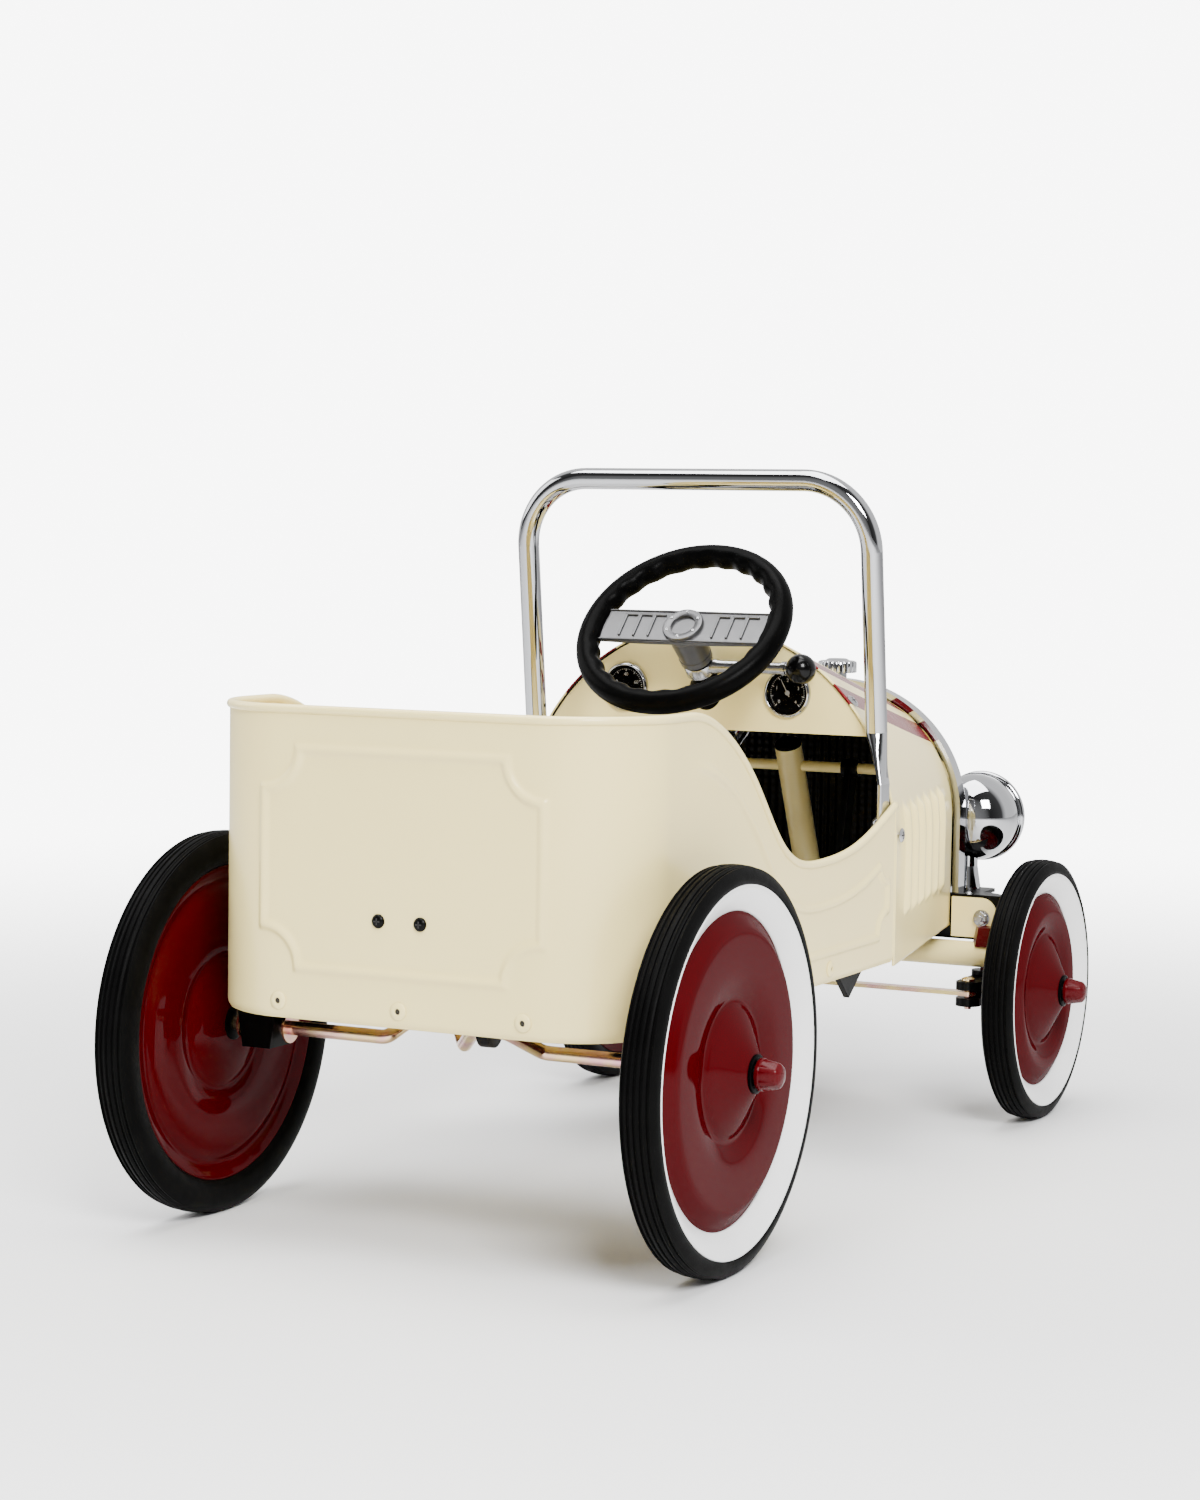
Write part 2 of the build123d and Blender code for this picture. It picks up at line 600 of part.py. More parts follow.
AXLE_END = WHEEL_X + 31
with BuildPart() as rear_crank_axle:
    with BuildLine() as crank_path:
        FilletPolyline(
            crank_point(AXLE_END, 0), crank_point(51, 0), crank_point(THROW_LEFT_X + 11, 1),
            crank_point(THROW_LEFT_X - 10, 1), crank_point(-3, 0), crank_point(THROW_RIGHT_X + 10, -1),
            crank_point(THROW_RIGHT_X - 11, -1), crank_point(-57, 0), crank_point(-AXLE_END, 0),
            radius=6,
        )
    with BuildSketch(Plane(origin=crank_point(AXLE_END, 0), z_dir=(-1, 0, 0))):
        Circle(AXLE_RADIUS)
    sweep(path=crank_path.wire())
    for side in SIDES.values():
        axle_point = Vector(0, REAR_Y, REAR_RADIUS)
        for inner in (119.5, 152.6):
            washer = axle_point + Vector(side * inner, 0, 0)
            add(rod(washer, washer + Vector(side * 1.4, 0, 0), 9.5))
    add(plate(side_plane(155), 3, [
        (REAR_Y - 3, REAR_RADIUS), (REAR_Y + 3, REAR_RADIUS), (REAR_Y + 3, REAR_RADIUS + 15),
        (REAR_Y - 3, REAR_RADIUS + 15),
    ]))
save(rear_crank_axle, "rear_crank_axle")


# ---- pedals ----
def swung(origin, swing, distance):
    """Point below the pivot rod, swing degrees towards the nose."""
    return origin + Vector(0, -sin(radians(swing)), -cos(radians(swing))) * distance


for name, side in SIDES.items():
    throw_x = THROW_LEFT_X if side > 0 else THROW_RIGHT_X
    swing = side * PEDAL_SWING
    forward = side
    throw = Vector(*crank_point(throw_x, forward))
    pivot = Vector(throw_x, PIVOT_Y, PIVOT_Z)
    across = Vector(side, 0, 0)
    eye = swung(pivot, swing, PEDAL_DROP)
    rod_start = throw - across * (ROD_WIDTH / 2)
    rod_eye = eye - across * (ROD_WIDTH / 2)

    # flat connecting rod from the crank throw to the foot of the pedal arm
    slope = (eye - throw).normalized()
    normal = Vector(0, -slope.Z, slope.Y)
    with BuildPart() as pedal_rod:
        add(rod(rod_start, rod_start + across * ROD_WIDTH, EYE_RADIUS))
        add(rod(rod_eye, rod_eye + across * ROD_WIDTH, EYE_RADIUS - 2))
        with BuildSketch(Plane(origin=throw, x_dir=across, z_dir=slope)):
            Rectangle(ROD_WIDTH, 12)
        extrude(amount=(eye - throw).length)
        big_end = rod_start - across
        add(rod(big_end, big_end + across * (ROD_WIDTH + 2), AXLE_RADIUS + FIT), mode=Mode.SUBTRACT)
        add(rod(rod_eye - across, rod_eye + across * (ROD_WIDTH + 1), 3), mode=Mode.SUBTRACT)
    save(pedal_rod, f"pedal_rod_{name}")

    # hanging arm with its eye, and a block pedal on a cross pin
    hub = pivot + across * 8
    arm = pivot + across * 11.5
    foot = swung(arm, swing, PEDAL_DROP)
    tread = swung(arm, swing, PEDAL_DROP - 24)
    with BuildPart() as pedal_arm:
        add(rod(hub, hub + across * 12, 7))
        add(rod(foot, foot + across * 5, 8))
        with BuildSketch(Plane(origin=arm + across * 2.5, x_dir=across, z_dir=(foot - arm).normalized())):
            Rectangle(5, 14)
        extrude(amount=PEDAL_DROP)
        add(rod(tread + across * 2, tread + across * 57, 4))
        add(rod(hub - across * 9, hub + across * 14, PIVOT_RADIUS + FIT), mode=Mode.SUBTRACT)
        add(rod(foot - across, foot + across * 7, 3), mode=Mode.SUBTRACT)
    save(pedal_arm, f"pedal_arm_{name}")

    pad_start = tread + across * 7
    with BuildPart() as pedal_pad:
        with BuildSketch(Plane(origin=pad_start, x_dir=(foot - arm).normalized(), z_dir=across)):
            RectangleRounded(40, 20, 5)
        extrude(amount=48)
        add(rod(tread, tread + across * 70, 4), mode=Mode.SUBTRACT)
    save(pedal_pad, f"pedal_pad_{name}")

# ---- steering ----
spoke_plane = Plane(origin=WHEEL_CENTRE, x_dir=(1, 0, 0), z_dir=COLUMN_AXIS)
GRIP_CIRCLE = STEERING_RADIUS - GRIP_RADIUS
with BuildPart() as steering_rim:
    grip_centre = WHEEL_CENTRE + Vector(GRIP_CIRCLE, 0, 0)
    with BuildSketch(Plane(origin=grip_centre, x_dir=(1, 0, 0), z_dir=(0, -1, 1))):
        Circle(GRIP_RADIUS)
    revolve(axis=Axis(WHEEL_CENTRE, COLUMN_AXIS))
    with BuildSketch(spoke_plane.offset(-1.5)):
        Rectangle(2 * GRIP_CIRCLE - 12, 26)
    extrude(amount=3, mode=Mode.SUBTRACT)
save(steering_rim, "steering_rim")

with BuildPart() as steering_spokes:
    with BuildSketch(spoke_plane.offset(-1.5)):
        Rectangle(2 * GRIP_CIRCLE - 12, 26)
    extrude(amount=3)
    add(turned(WHEEL_CENTRE, COLUMN_AXIS, [
        (-31, COLUMN_RADIUS), (-31, 11.5), (-4, 13), (-4, 14.5), (4, 14.5), (4, 9), (1, 9), (1, COLUMN_RADIUS),
    ]))
    add(rod(column_point(8), column_point(-1), COLUMN_RADIUS), mode=Mode.SUBTRACT)
save(steering_spokes, "steering_spokes")

column_foot = column_point(COLUMN_LENGTH - 4)
pitman_foot = Vector(0, column_foot.Y, TIE_ROD_Z - 7)
with BuildPart() as steering_column:
    add(rod(column_point(-1), column_foot, COLUMN_RADIUS))
    add(Pos(column_foot) * Sphere(COLUMN_RADIUS, mode=Mode.PRIVATE))
    add(rod(column_foot, pitman_foot, 3.5))
save(steering_column, "steering_column")

collar = column_point(LEVER_DISTANCE)
with BuildPart() as gear_lever:
    add(rod(column_point(LEVER_DISTANCE - 5), column_point(LEVER_DISTANCE + 4.5), COLLAR_RADIUS))
    add(rod(collar, LEVER_BALL, LEVER_RADIUS))
    collar_top = column_point(LEVER_DISTANCE - 9)
    collar_bottom = column_point(LEVER_DISTANCE + 9)
    add(rod(collar_top, collar_bottom, COLUMN_RADIUS + FIT), mode=Mode.SUBTRACT)
    add(Pos(LEVER_BALL) * Sphere(BALL_RADIUS, mode=Mode.PRIVATE), mode=Mode.SUBTRACT)
save(gear_lever, "gear_lever")

with BuildPart() as gear_lever_ball:
    add(Pos(LEVER_BALL) * Sphere(BALL_RADIUS, mode=Mode.PRIVATE))
save(gear_lever_ball, "gear_lever_ball")

ARM_Y = FRONT_Y + STEERING_ARM
for name, side in SIDES.items():
    pin = Vector(side * KINGPIN_X, FRONT_Y, 0)
    # the tie rod's pin runs in the left arm; the right arm's hole has play
    pin_hole = 2.5 + FIT if side > 0 else 3
    with BuildPart() as knuckle:
        with BuildSketch(Plane.XY.offset(85)):
            with Locations((pin.X, FRONT_Y)):
                Circle(10.5)
        extrude(amount=22)
        for level in (85, 97):
            with BuildSketch(Plane.XY.offset(level)):
                with Locations((pin.X, (FRONT_Y + ARM_Y) / 2)):
                    SlotCenterToCenter(STEERING_ARM, 18, rotation=90)
            extrude(amount=6)
        with BuildSketch(Plane.XY.offset(88)):
            with Locations((pin.X, FRONT_Y + 12)):
                Rectangle(12, 12)
        extrude(amount=12)
        stub = pin + Vector(side * 8, 0, FRONT_RADIUS)
        add(rod(stub, stub + Vector(side * 12, 0, 0), 8))
        add(rod(stub, Vector(side * AXLE_END, FRONT_Y, FRONT_RADIUS), STUB_RADIUS))
        add(rod(pin + Vector(0, 0, 80), pin + Vector(0, 0, 112), KINGPIN_RADIUS + FIT), mode=Mode.SUBTRACT)
        arm_pin = Vector(side * KINGPIN_X, ARM_Y, 80)
        add(rod(arm_pin, arm_pin + Vector(0, 0, 30), pin_hole), mode=Mode.SUBTRACT)
    save(knuckle, f"knuckle_{name}")

with BuildPart() as tie_rod:
    with BuildSketch(Plane.XY.offset(TIE_ROD_Z - 1.5)):
        with Locations((0, ARM_Y)):
            Rectangle(2 * KINGPIN_X, 11)
            RectangleRounded(36, 24, 11.9)
        with Locations((KINGPIN_X, ARM_Y), (-KINGPIN_X, ARM_Y)):
            Circle(5.5)
        with Locations((0, ARM_Y)):
            SlotOverall(16, 9, rotation=90, mode=Mode.SUBTRACT)
    extrude(amount=3)
    for side in SIDES.values():
        arm_pin = Vector(side * KINGPIN_X, ARM_Y, 0)
        add(turned(arm_pin, Vector(0, 0, 1), [
            (82.5, 0), (82.5, 2.5), (103.4, 2.5), (103.4, 5), (105, 5), (106, 3), (106, 0),
        ]))
save(tie_rod, "tie_rod")


# ---- wheels ----
def make_wheel(name, side, y, radius, wall_out, wall_in):
    """Tyre, whitewall ring, two pressed disc halves, hub bush and red cap of one wheel."""
    centre = Vector(side * WHEEL_X, y, radius)
    outward = Vector(side, 0, 0)
    face = TYRE_WIDTH / 2
    seat = wall_in + 6
    bulge = wall_in - 14

    with BuildPart() as tyre:
        add(turned(centre, outward, [
            (-face, seat + 4), (-face, radius - 4), (-face + 2, radius - 1), (-face + 4, radius),
            (face - 4, radius), (face - 2, radius - 1), (face, radius - 4), (face, wall_out + 0.2),
            (face - 2.4, wall_out + 0.2), (face - 8, seat), (-face + 4, seat),
        ]))
    save(tyre, f"{name}_tyre")

    with BuildPart() as whitewall:
        add(turned(centre, outward, [
            (face, wall_out), (face - 8.8, wall_in), (face - 10.6, wall_in + 1), (face - 2.4, wall_out),
        ]))
    save(whitewall, f"{name}_whitewall")

    # outward profile from the wheel's middle plane: edge, bulge, valley, central cone
    outer_line = [
        (face - 10.9, wall_in + 0.6), (face - 9.4, wall_in - 1.5), (face - 6, wall_in - 6), (face - 3, bulge),
        (face - 4.5, 52), (face - 7.5, 43), (face - 6.5, 38), (face + 3, 20), (face + 8, 11), (face + 8, 8.1),
    ]
    with BuildPart() as wheel_disc:
        add(turned(centre, outward, outer_line + [(x - SHEET, r) for x, r in reversed(outer_line)]))
        inner_line = [
            (-face + 4, seat - 0.2), (-face + 5, wall_in), (-face + 8, wall_in - 5), (-face + 4, bulge),
            (-face + 5.5, 52), (-face + 8, 43), (-face + 6, 38), (-face + 1, 20), (-face, 11), (-face, 8.1),
        ]
        add(turned(centre, outward, inner_line + [(-face + SHEET, 8.1)] + [
            (x + SHEET, r) for x, r in reversed(inner_line[:-1])
        ][:-1] + [(-face + 5.5, seat - 1.7), (face - 9, seat - 1.7), (face - 9, seat - 0.2)]))
    save(wheel_disc, f"{name}_wheel_disc")

    bore = AXLE_RADIUS + FIT if y == REAR_Y else STUB_RADIUS + FIT
    if name == "rear_left":
        bore = AXLE_RADIUS
    with BuildPart() as hub_bush:
        add(turned(centre, outward, [
            (-face - 1.6, bore), (-face - 1.6, 11), (-face - 0.1, 11), (-face - 0.1, 8), (face + 8.1, 8),
            (face + 8.1, 11.5), (face + 10.6, 11.5), (face + 10.6, bore),
        ]))
    save(hub_bush, f"{name}_hub_bush")

    shaft = STUB_RADIUS if y == FRONT_Y else AXLE_RADIUS
    cap_start = face + 11.2
    with BuildPart() as hub_cap:
        add(turned(centre, outward, [
            (cap_start, shaft), (cap_start, 9.5), (cap_start + 2, 9.5), (cap_start + 3, 8.8),
            (cap_start + 12.5, 7), (cap_start + 14.5, 5), (cap_start + 15, 0), (31, 0), (31, shaft),
        ]))
    save(hub_cap, f"{name}_hub_cap")


for side_name, side in SIDES.items():
    make_wheel(f"rear_{side_name}", side, REAR_Y, REAR_RADIUS, 109, 93)
    make_wheel(f"front_{side_name}", side, FRONT_Y, FRONT_RADIUS, 86, 71)
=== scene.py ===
import math

import bpy
import numpy as np
from mathutils import Matrix, Vector


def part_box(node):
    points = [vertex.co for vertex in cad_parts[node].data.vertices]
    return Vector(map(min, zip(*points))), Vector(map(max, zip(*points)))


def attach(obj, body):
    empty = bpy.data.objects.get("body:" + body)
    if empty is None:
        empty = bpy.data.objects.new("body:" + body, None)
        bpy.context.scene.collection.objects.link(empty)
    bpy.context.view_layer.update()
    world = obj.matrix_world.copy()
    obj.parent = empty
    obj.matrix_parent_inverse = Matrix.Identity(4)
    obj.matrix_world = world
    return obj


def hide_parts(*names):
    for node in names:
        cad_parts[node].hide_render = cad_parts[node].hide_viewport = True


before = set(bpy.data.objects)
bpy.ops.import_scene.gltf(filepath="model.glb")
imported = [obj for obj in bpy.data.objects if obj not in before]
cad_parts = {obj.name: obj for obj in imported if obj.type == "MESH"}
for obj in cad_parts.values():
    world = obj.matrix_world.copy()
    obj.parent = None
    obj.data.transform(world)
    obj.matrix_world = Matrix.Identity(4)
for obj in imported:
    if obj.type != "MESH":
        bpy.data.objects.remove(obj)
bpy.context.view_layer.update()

# Shapes are worked out in millimetres, in the frame's axes, and turned into metres in add_mesh.
MM = 0.001
WHEELS = ("rear_left", "rear_right", "front_left", "front_right")


def box_mm(node):
    """Lowest and highest corner of a CAD node, in millimetres."""
    low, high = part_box(node)
    return np.array(low) / MM, np.array(high) / MM


# ------------------------------------------------------------------ mesh helpers
def add_mesh(name, verts, faces, smooth=True):
    mesh = bpy.data.meshes.new(name)
    mesh.from_pydata([tuple(float(c) * MM for c in v) for v in verts], [], faces)
    mesh.validate()
    mesh.polygons.foreach_set("use_smooth", [smooth] * len(mesh.polygons))
    piece = bpy.data.objects.new(name, mesh)
    bpy.context.scene.collection.objects.link(piece)
    return piece


def grid_faces(rows, columns, wrap_rows=False, wrap_columns=False):
    """Quads of a grid whose vertex (row, column) has index row * columns + column."""
    faces = []
    for row in range(rows if wrap_rows else rows - 1):
        for column in range(columns if wrap_columns else columns - 1):
            next_row = (row + 1) % rows
            next_column = (column + 1) % columns
            faces.append((
                row * columns + column, row * columns + next_column,
                next_row * columns + next_column, next_row * columns + column,
            ))
    return faces


def joined(parts):
    """One (verts, faces) from several."""
    verts = []
    faces = []
    for part_verts, part_faces in parts:
        start = len(verts)
        verts.extend(part_verts)
        faces.extend(tuple(i + start for i in face) for face in part_faces)
    return verts, faces


def axes_for(axis):
    """Two unit vectors square to the axis and to each other."""
    axis = np.array(axis, float) / np.linalg.norm(axis)
    helper = np.array((0.0, 0.0, 1.0)) if abs(axis[2]) < 0.9 else np.array((0.0, 1.0, 0.0))
    first = np.cross(helper, axis)
    first /= np.linalg.norm(first)
    return axis, first, np.cross(axis, first)


def smooth_line(points, steps):
    """Catmull-Rom curve through points. A point given twice keeps its corner sharp."""
    points = np.array(points, float)
    count = len(points)
    line = []
    for i in range(count - 1):
        p = [points[min(max(i + k, 0), count - 1)] for k in (-1, 0, 1, 2)]
        if np.allclose(p[1], p[2]):
            continue
        before = p[1] if np.allclose(p[0], p[1]) else p[0]
        after = p[2] if np.allclose(p[2], p[3]) else p[3]
        for t in np.linspace(0, 1, steps, endpoint=False):
            line.append(0.5 * (
                2 * p[1] + (p[2] - before) * t + (2 * before - 5 * p[1] + 4 * p[2] - after) * t ** 2
                + (3 * p[1] - before - 3 * p[2] + after) * t ** 3
            ))
    line.append(points[-1])
    return np.array(line)


def lathe(profile, origin, axis, segments=96, closed=False, radius_of=None):
    """Surface of revolution of (distance along the axis, radius) points. Ends on the axis are capped."""
    axis, first, second = axes_for(axis)
    origin = np.array(origin, float)
    angles = np.linspace(0, 2 * math.pi, segments, endpoint=False)
    verts = []
    for along, radius in profile:
        for angle in angles:
            r = radius if radius_of is None else radius_of(along, radius, angle)
            verts.append(origin + axis * along + (first * math.cos(angle) + second * math.sin(angle)) * r)
    faces = grid_faces(len(profile), segments, wrap_rows=closed, wrap_columns=True)
    for row, turn in ((0, -1), (len(profile) - 1, 1)):
        if not closed and profile[row][1] < 0.6:
            ring = [row * segments + i for i in range(segments)]
            faces.append(tuple(ring[::turn]))
    return verts, faces


def sweep(path, section, up=None):
    """Section of (a, b) offsets carried along an open path with frames that don't twist, ends closed."""
    path = np.array(path, float)
    count = len(path)
    ahead = np.vstack([path[1:], path[-1:]])
    behind = np.vstack([path[:1], path[:-1]])
    tangents = ahead - behind
    tangents /= np.linalg.norm(tangents, axis=1)[:, None]
    _, normal, _ = axes_for(tangents[0])
    verts = []
    for i in range(count):
        tangent = tangents[i]
        normal = np.array(up, float) if up is not None else normal
        normal = normal - tangent * normal.dot(tangent)
        normal /= np.linalg.norm(normal)
        side = np.cross(tangent, normal)
        for a, b in section:
            verts.append(path[i] + (side * a + normal * b))
    faces = grid_faces(count, len(section), wrap_columns=True)
    last = (count - 1) * len(section)
    faces.append(tuple(range(len(section)))[::-1])
    faces.append(tuple(last + i for i in range(len(section))))
    return verts, faces


def circle(radius, sides):
    return [
        (radius * math.cos(a), radius * math.sin(a))
        for a in np.linspace(0, 2 * math.pi, sides, endpoint=False)
    ]


def block(low, high):
    """Box between two corners, as (verts, faces)."""
    verts = [(x, y, z) for x in (low[0], high[0]) for y in (low[1], high[1]) for z in (low[2], high[2])]
    faces = [(0, 1, 3, 2), (4, 6, 7, 5), (0, 4, 5, 1), (2, 3, 7, 6), (0, 2, 6, 4), (1, 5, 7, 3)]
    return verts, faces


def placed(shape, origin, x_axis, z_axis):
    """A shape made about the origin, moved to a place with its X and Z along the given axes."""
    x_axis = np.array(x_axis, float) / np.linalg.norm(x_axis)
    z_axis = np.array(z_axis, float) / np.linalg.norm(z_axis)
    y_axis = np.cross(z_axis, x_axis)
    verts, faces = shape
    origin = np.array(origin, float)
    return [origin + x_axis * v[0] + y_axis * v[1] + z_axis * v[2] for v in verts], faces


def bevel(piece, width, segments=2):
    modifier = piece.modifiers.new("edge", "BEVEL")
    modifier.width = width * MM
    modifier.segments = segments
    modifier.limit_method = "ANGLE"
    modifier.harden_normals = False
    return piece


def sharp_by_angle(piece, degrees=35):
    """Smooth shading that keeps hard edges hard."""
    mesh = piece.data
    mesh.set_sharp_from_angle(angle=math.radians(degrees))
    return piece


def shell(piece, thickness, offset=-1.0):
    modifier = piece.modifiers.new("sheet", "SOLIDIFY")
    modifier.thickness = thickness * MM
    modifier.offset = offset
    return piece


def smoothstep(low, high, value):
    t = np.clip((value - low) / (high - low), 0, 1)
    return t * t * (3 - 2 * t)


# ------------------------------------------------------------------ materials
def material(name, color, rough=0.4, metallic=0.0, coat=0.0, coat_rough=0.05, grain=0.1, grain_scale=400,
             blotch=0.04, blotch_scale=25, rough_vary=0.06, second=None, specular=0.5):
    """Procedural finish: blotches in colour, uneven roughness and a fine surface grain."""
    made = bpy.data.materials.new(name)
    made.use_nodes = True
    nodes = made.node_tree.nodes
    links = made.node_tree.links
    shader = nodes["Principled BSDF"]
    shader.inputs["Metallic"].default_value = metallic
    shader.inputs["Coat Weight"].default_value = coat
    shader.inputs["Coat Roughness"].default_value = coat_rough
    shader.inputs["Specular IOR Level"].default_value = specular
    place = nodes.new("ShaderNodeTexCoord")

    def noise(scale, detail):
        texture = nodes.new("ShaderNodeTexNoise")
        texture.inputs["Scale"].default_value = scale
        texture.inputs["Detail"].default_value = detail
        links.new(place.outputs["Object"], texture.inputs["Vector"])
        return texture.outputs["Fac"]

    ramp = nodes.new("ShaderNodeValToRGB")
    dark = second or tuple(c * (1 - blotch * 2) for c in color)
    ramp.color_ramp.elements[0].position = 0.3
    ramp.color_ramp.elements[0].color = (*dark, 1)
    ramp.color_ramp.elements[1].position = 0.7
    ramp.color_ramp.elements[1].color = (*color, 1)
    links.new(noise(blotch_scale, 4), ramp.inputs["Fac"])
    links.new(ramp.outputs["Color"], shader.inputs["Base Color"])

    span = nodes.new("ShaderNodeMapRange")
    span.inputs["To Min"].default_value = max(0.0, rough - rough_vary)
    span.inputs["To Max"].default_value = rough + rough_vary
    links.new(noise(blotch_scale * 3.1, 5), span.inputs["Value"])
    links.new(span.outputs["Result"], shader.inputs["Roughness"])

    bump = nodes.new("ShaderNodeBump")
    bump.inputs["Strength"].default_value = grain
    bump.inputs["Distance"].default_value = 0.0004
    links.new(noise(grain_scale, 3), bump.inputs["Height"])
    links.new(bump.outputs["Normal"], shader.inputs["Normal"])
    return made


CREAM = material("cream_enamel", (0.87, 0.72, 0.30), rough=0.33, coat=0.35, coat_rough=0.12, grain=0.12,
                 grain_scale=900, blotch=0.015, blotch_scale=9)
RED = material("red_enamel", (0.045, 0.0001, 0.0012), rough=0.2, coat=0.14, coat_rough=0.04, grain=0.04,
               grain_scale=500, blotch=0.03, blotch_scale=18, rough_vary=0.02, specular=0.0)
STRIPE = material("red_stripe", (0.13, 0.0004, 0.003), rough=0.25, coat=0.08, coat_rough=0.06, grain=0.06,
                  grain_scale=500, blotch=0.03, blotch_scale=30, specular=0.12)
CHROME = material("chrome_plate", (0.44, 0.445, 0.46), rough=0.05, metallic=1.0, grain=0.015, grain_scale=260,
                  blotch=0.02, blotch_scale=40, rough_vary=0.02)
STEEL = material("bright_steel", (0.42, 0.42, 0.43), rough=0.24, metallic=1.0, grain=0.08, grain_scale=700,
                 blotch=0.05, blotch_scale=70, rough_vary=0.08)
ZINC = material("yellow_zinc", (0.80, 0.66, 0.25), rough=0.22, metallic=1.0, grain=0.08, grain_scale=600,
                blotch_scale=60, rough_vary=0.08, second=(0.62, 0.30, 0.38))
BLACK = material("black_enamel", (0.0018, 0.0018, 0.0018), rough=0.34, coat=0.1, coat_rough=0.15, grain=0.15,
                 grain_scale=900, blotch=0.2, blotch_scale=40, rough_vary=0.1, specular=0.03)
GRIP = material("black_grip", (0.0014, 0.0014, 0.0014), rough=0.32, coat=0.0, grain=0.12,
                grain_scale=700, blotch=0.2, blotch_scale=60, specular=0.02)
RUBBER = material("tyre_rubber", (0.0018, 0.0018, 0.0018), rough=0.5, grain=0.25, grain_scale=1400,
                  blotch=0.25, blotch_scale=50, rough_vary=0.1, specular=0.03)
WHITEWALL = material("whitewall", (0.82, 0.82, 0.82), rough=0.38, coat=0.2, coat_rough=0.2, grain=0.1,
                     grain_scale=600, blotch=0.02, blotch_scale=30)
SILVER = material("silver_paint", (0.10, 0.10, 0.103), rough=0.33, metallic=0.75, grain=0.12,
                  grain_scale=1500, blotch=0.05, blotch_scale=90)
DIAL = material("dial_black", (0.0014, 0.0014, 0.0014), rough=0.5, grain=0.1, grain_scale=1500, blotch=0.2,
                blotch_scale=120, specular=0.0)
PALE_INK = material("dial_marks", (0.30, 0.30, 0.28), rough=0.5, grain=0.05, blotch=0.05, blotch_scale=200)


def finish(piece, body, node_slot, *looks, replaces=()):
    """Rides a piece on its body, names its CAD stand-ins and its materials. node_slot is not used."""
    for look in looks:
        piece.data.materials.append(look)
    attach(piece, body)
    if replaces:
        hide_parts(*replaces)
    return piece


# ------------------------------------------------------------------ body tub
tub_low, tub_high = box_mm("body_tub")
RIM_BEAD = 2
HALF_WIDTH = tub_high[0] - RIM_BEAD
TUB_REAR = tub_high[1] - RIM_BEAD
TUB_SEAM = tub_low[1]
TUB_FOOT = tub_low[2]
TUB_TOP = tub_high[2]
CORNER = 60
BEAD_HEIGHT = 2.2
BEAD_WIDTH = 2.4
EDGE_Y = np.array([262, 205, 165, 125, 58, -10, TUB_SEAM])
EDGE_Z = np.array([TUB_TOP, 309, 279, 240, 222, 228.5, 250])


def clamped_spline(xs, ys, first_slope, last_slope):
    """Cubic spline with given end slopes. xs may run downwards."""
    if xs[0] > xs[-1]:
        xs, ys = xs[::-1], ys[::-1]
        first_slope, last_slope = last_slope, first_slope
    n = len(xs)
    gap = np.diff(xs)
    matrix = np.zeros((n, n))
    right = np.zeros(n)
    matrix[0, 0] = matrix[-1, -1] = 1
    right[0] = first_slope
    right[-1] = last_slope
    for i in range(1, n - 1):
        matrix[i, i - 1] = 1 / gap[i - 1]
        matrix[i, i] = 2 / gap[i - 1] + 2 / gap[i]
        matrix[i, i + 1] = 1 / gap[i]
        right[i] = 3 * ((ys[i] - ys[i - 1]) / gap[i - 1] ** 2 + (ys[i + 1] - ys[i]) / gap[i] ** 2)
    slopes = np.linalg.solve(matrix, right)

    def value(x):
        i = int(np.clip(np.searchsorted(xs, x) - 1, 0, n - 2))
        t = (x - xs[i]) / gap[i]
        return (
            ys[i] * (1 + 2 * t) * (1 - t) ** 2 + slopes[i] * gap[i] * t * (1 - t) ** 2
            + ys[i + 1] * t * t * (3 - 2 * t) + slopes[i + 1] * gap[i] * t * t * (t - 1)
        )

    return value


edge_curve = clamped_spline(EDGE_Y, EDGE_Z, 0.0, -0.4)


def tub_edge(y):
    """Height of the tub's top edge at y."""
    return TUB_TOP if y > EDGE_Y[0] else edge_curve(y)


def tub_plan(step):
    """Points (x, y, outward x, outward y, distance from the middle of the back) from right to left."""
    half_back = HALF_WIDTH - CORNER
    quarter = CORNER * math.pi / 2
    side = TUB_REAR - CORNER - TUB_SEAM
    length = half_back + quarter + side
    points = []
    for s in np.linspace(-length, length, int(2 * length / step) + 1):
        turn = -1 if s < 0 else 1
        d = abs(s)
        if d <= half_back:
            points.append((s, TUB_REAR, 0, 1, s))
        elif d <= half_back + quarter:
            a = (d - half_back) / CORNER
            points.append((
                turn * (half_back + CORNER * math.sin(a)), TUB_REAR - CORNER + CORNER * math.cos(a),
                turn * math.sin(a), math.cos(a), s,
            ))
        else:
            points.append((turn * HALF_WIDTH, TUB_REAR - CORNER - (d - half_back - quarter), turn, 0, s))
    return points


def bead(distance):
    """Height of a pressed bead at a distance from its line."""
    return BEAD_HEIGHT * math.exp(-(distance / BEAD_WIDTH) ** 4)


def back_frame(s, z):
    """Distance to the pressed frame on the back: a rectangle with quarter circles cut out of its corners."""
    half, low, high, notch = 93, 171, 300.5, 24
    middle = (low + high) / 2
    dx = abs(s) - half
    dz = abs(z - middle) - (high - low) / 2
    outside = math.hypot(max(dx, 0), max(dz, 0)) + min(max(dx, dz), 0)
    return abs(max(outside, notch - math.hypot(dx, dz)))


def side_frame(y, z):
    """Distance to the pressed frame on each side, which follows the cut-out above it."""
    front, low, drop, notch = TUB_SEAM + 14, 160, 31, 17
    top = tub_edge(y) - drop
    slope = (tub_edge(y + 1) - tub_edge(y - 1)) / 2
    inside = max(front - y, low - z, (z - top) / math.hypot(1, slope))
    corner_top = tub_edge(front) - drop
    for corner_z in (low, corner_top):
        inside = max(inside, notch - math.hypot(y - front, z - corner_z))
    return abs(inside)


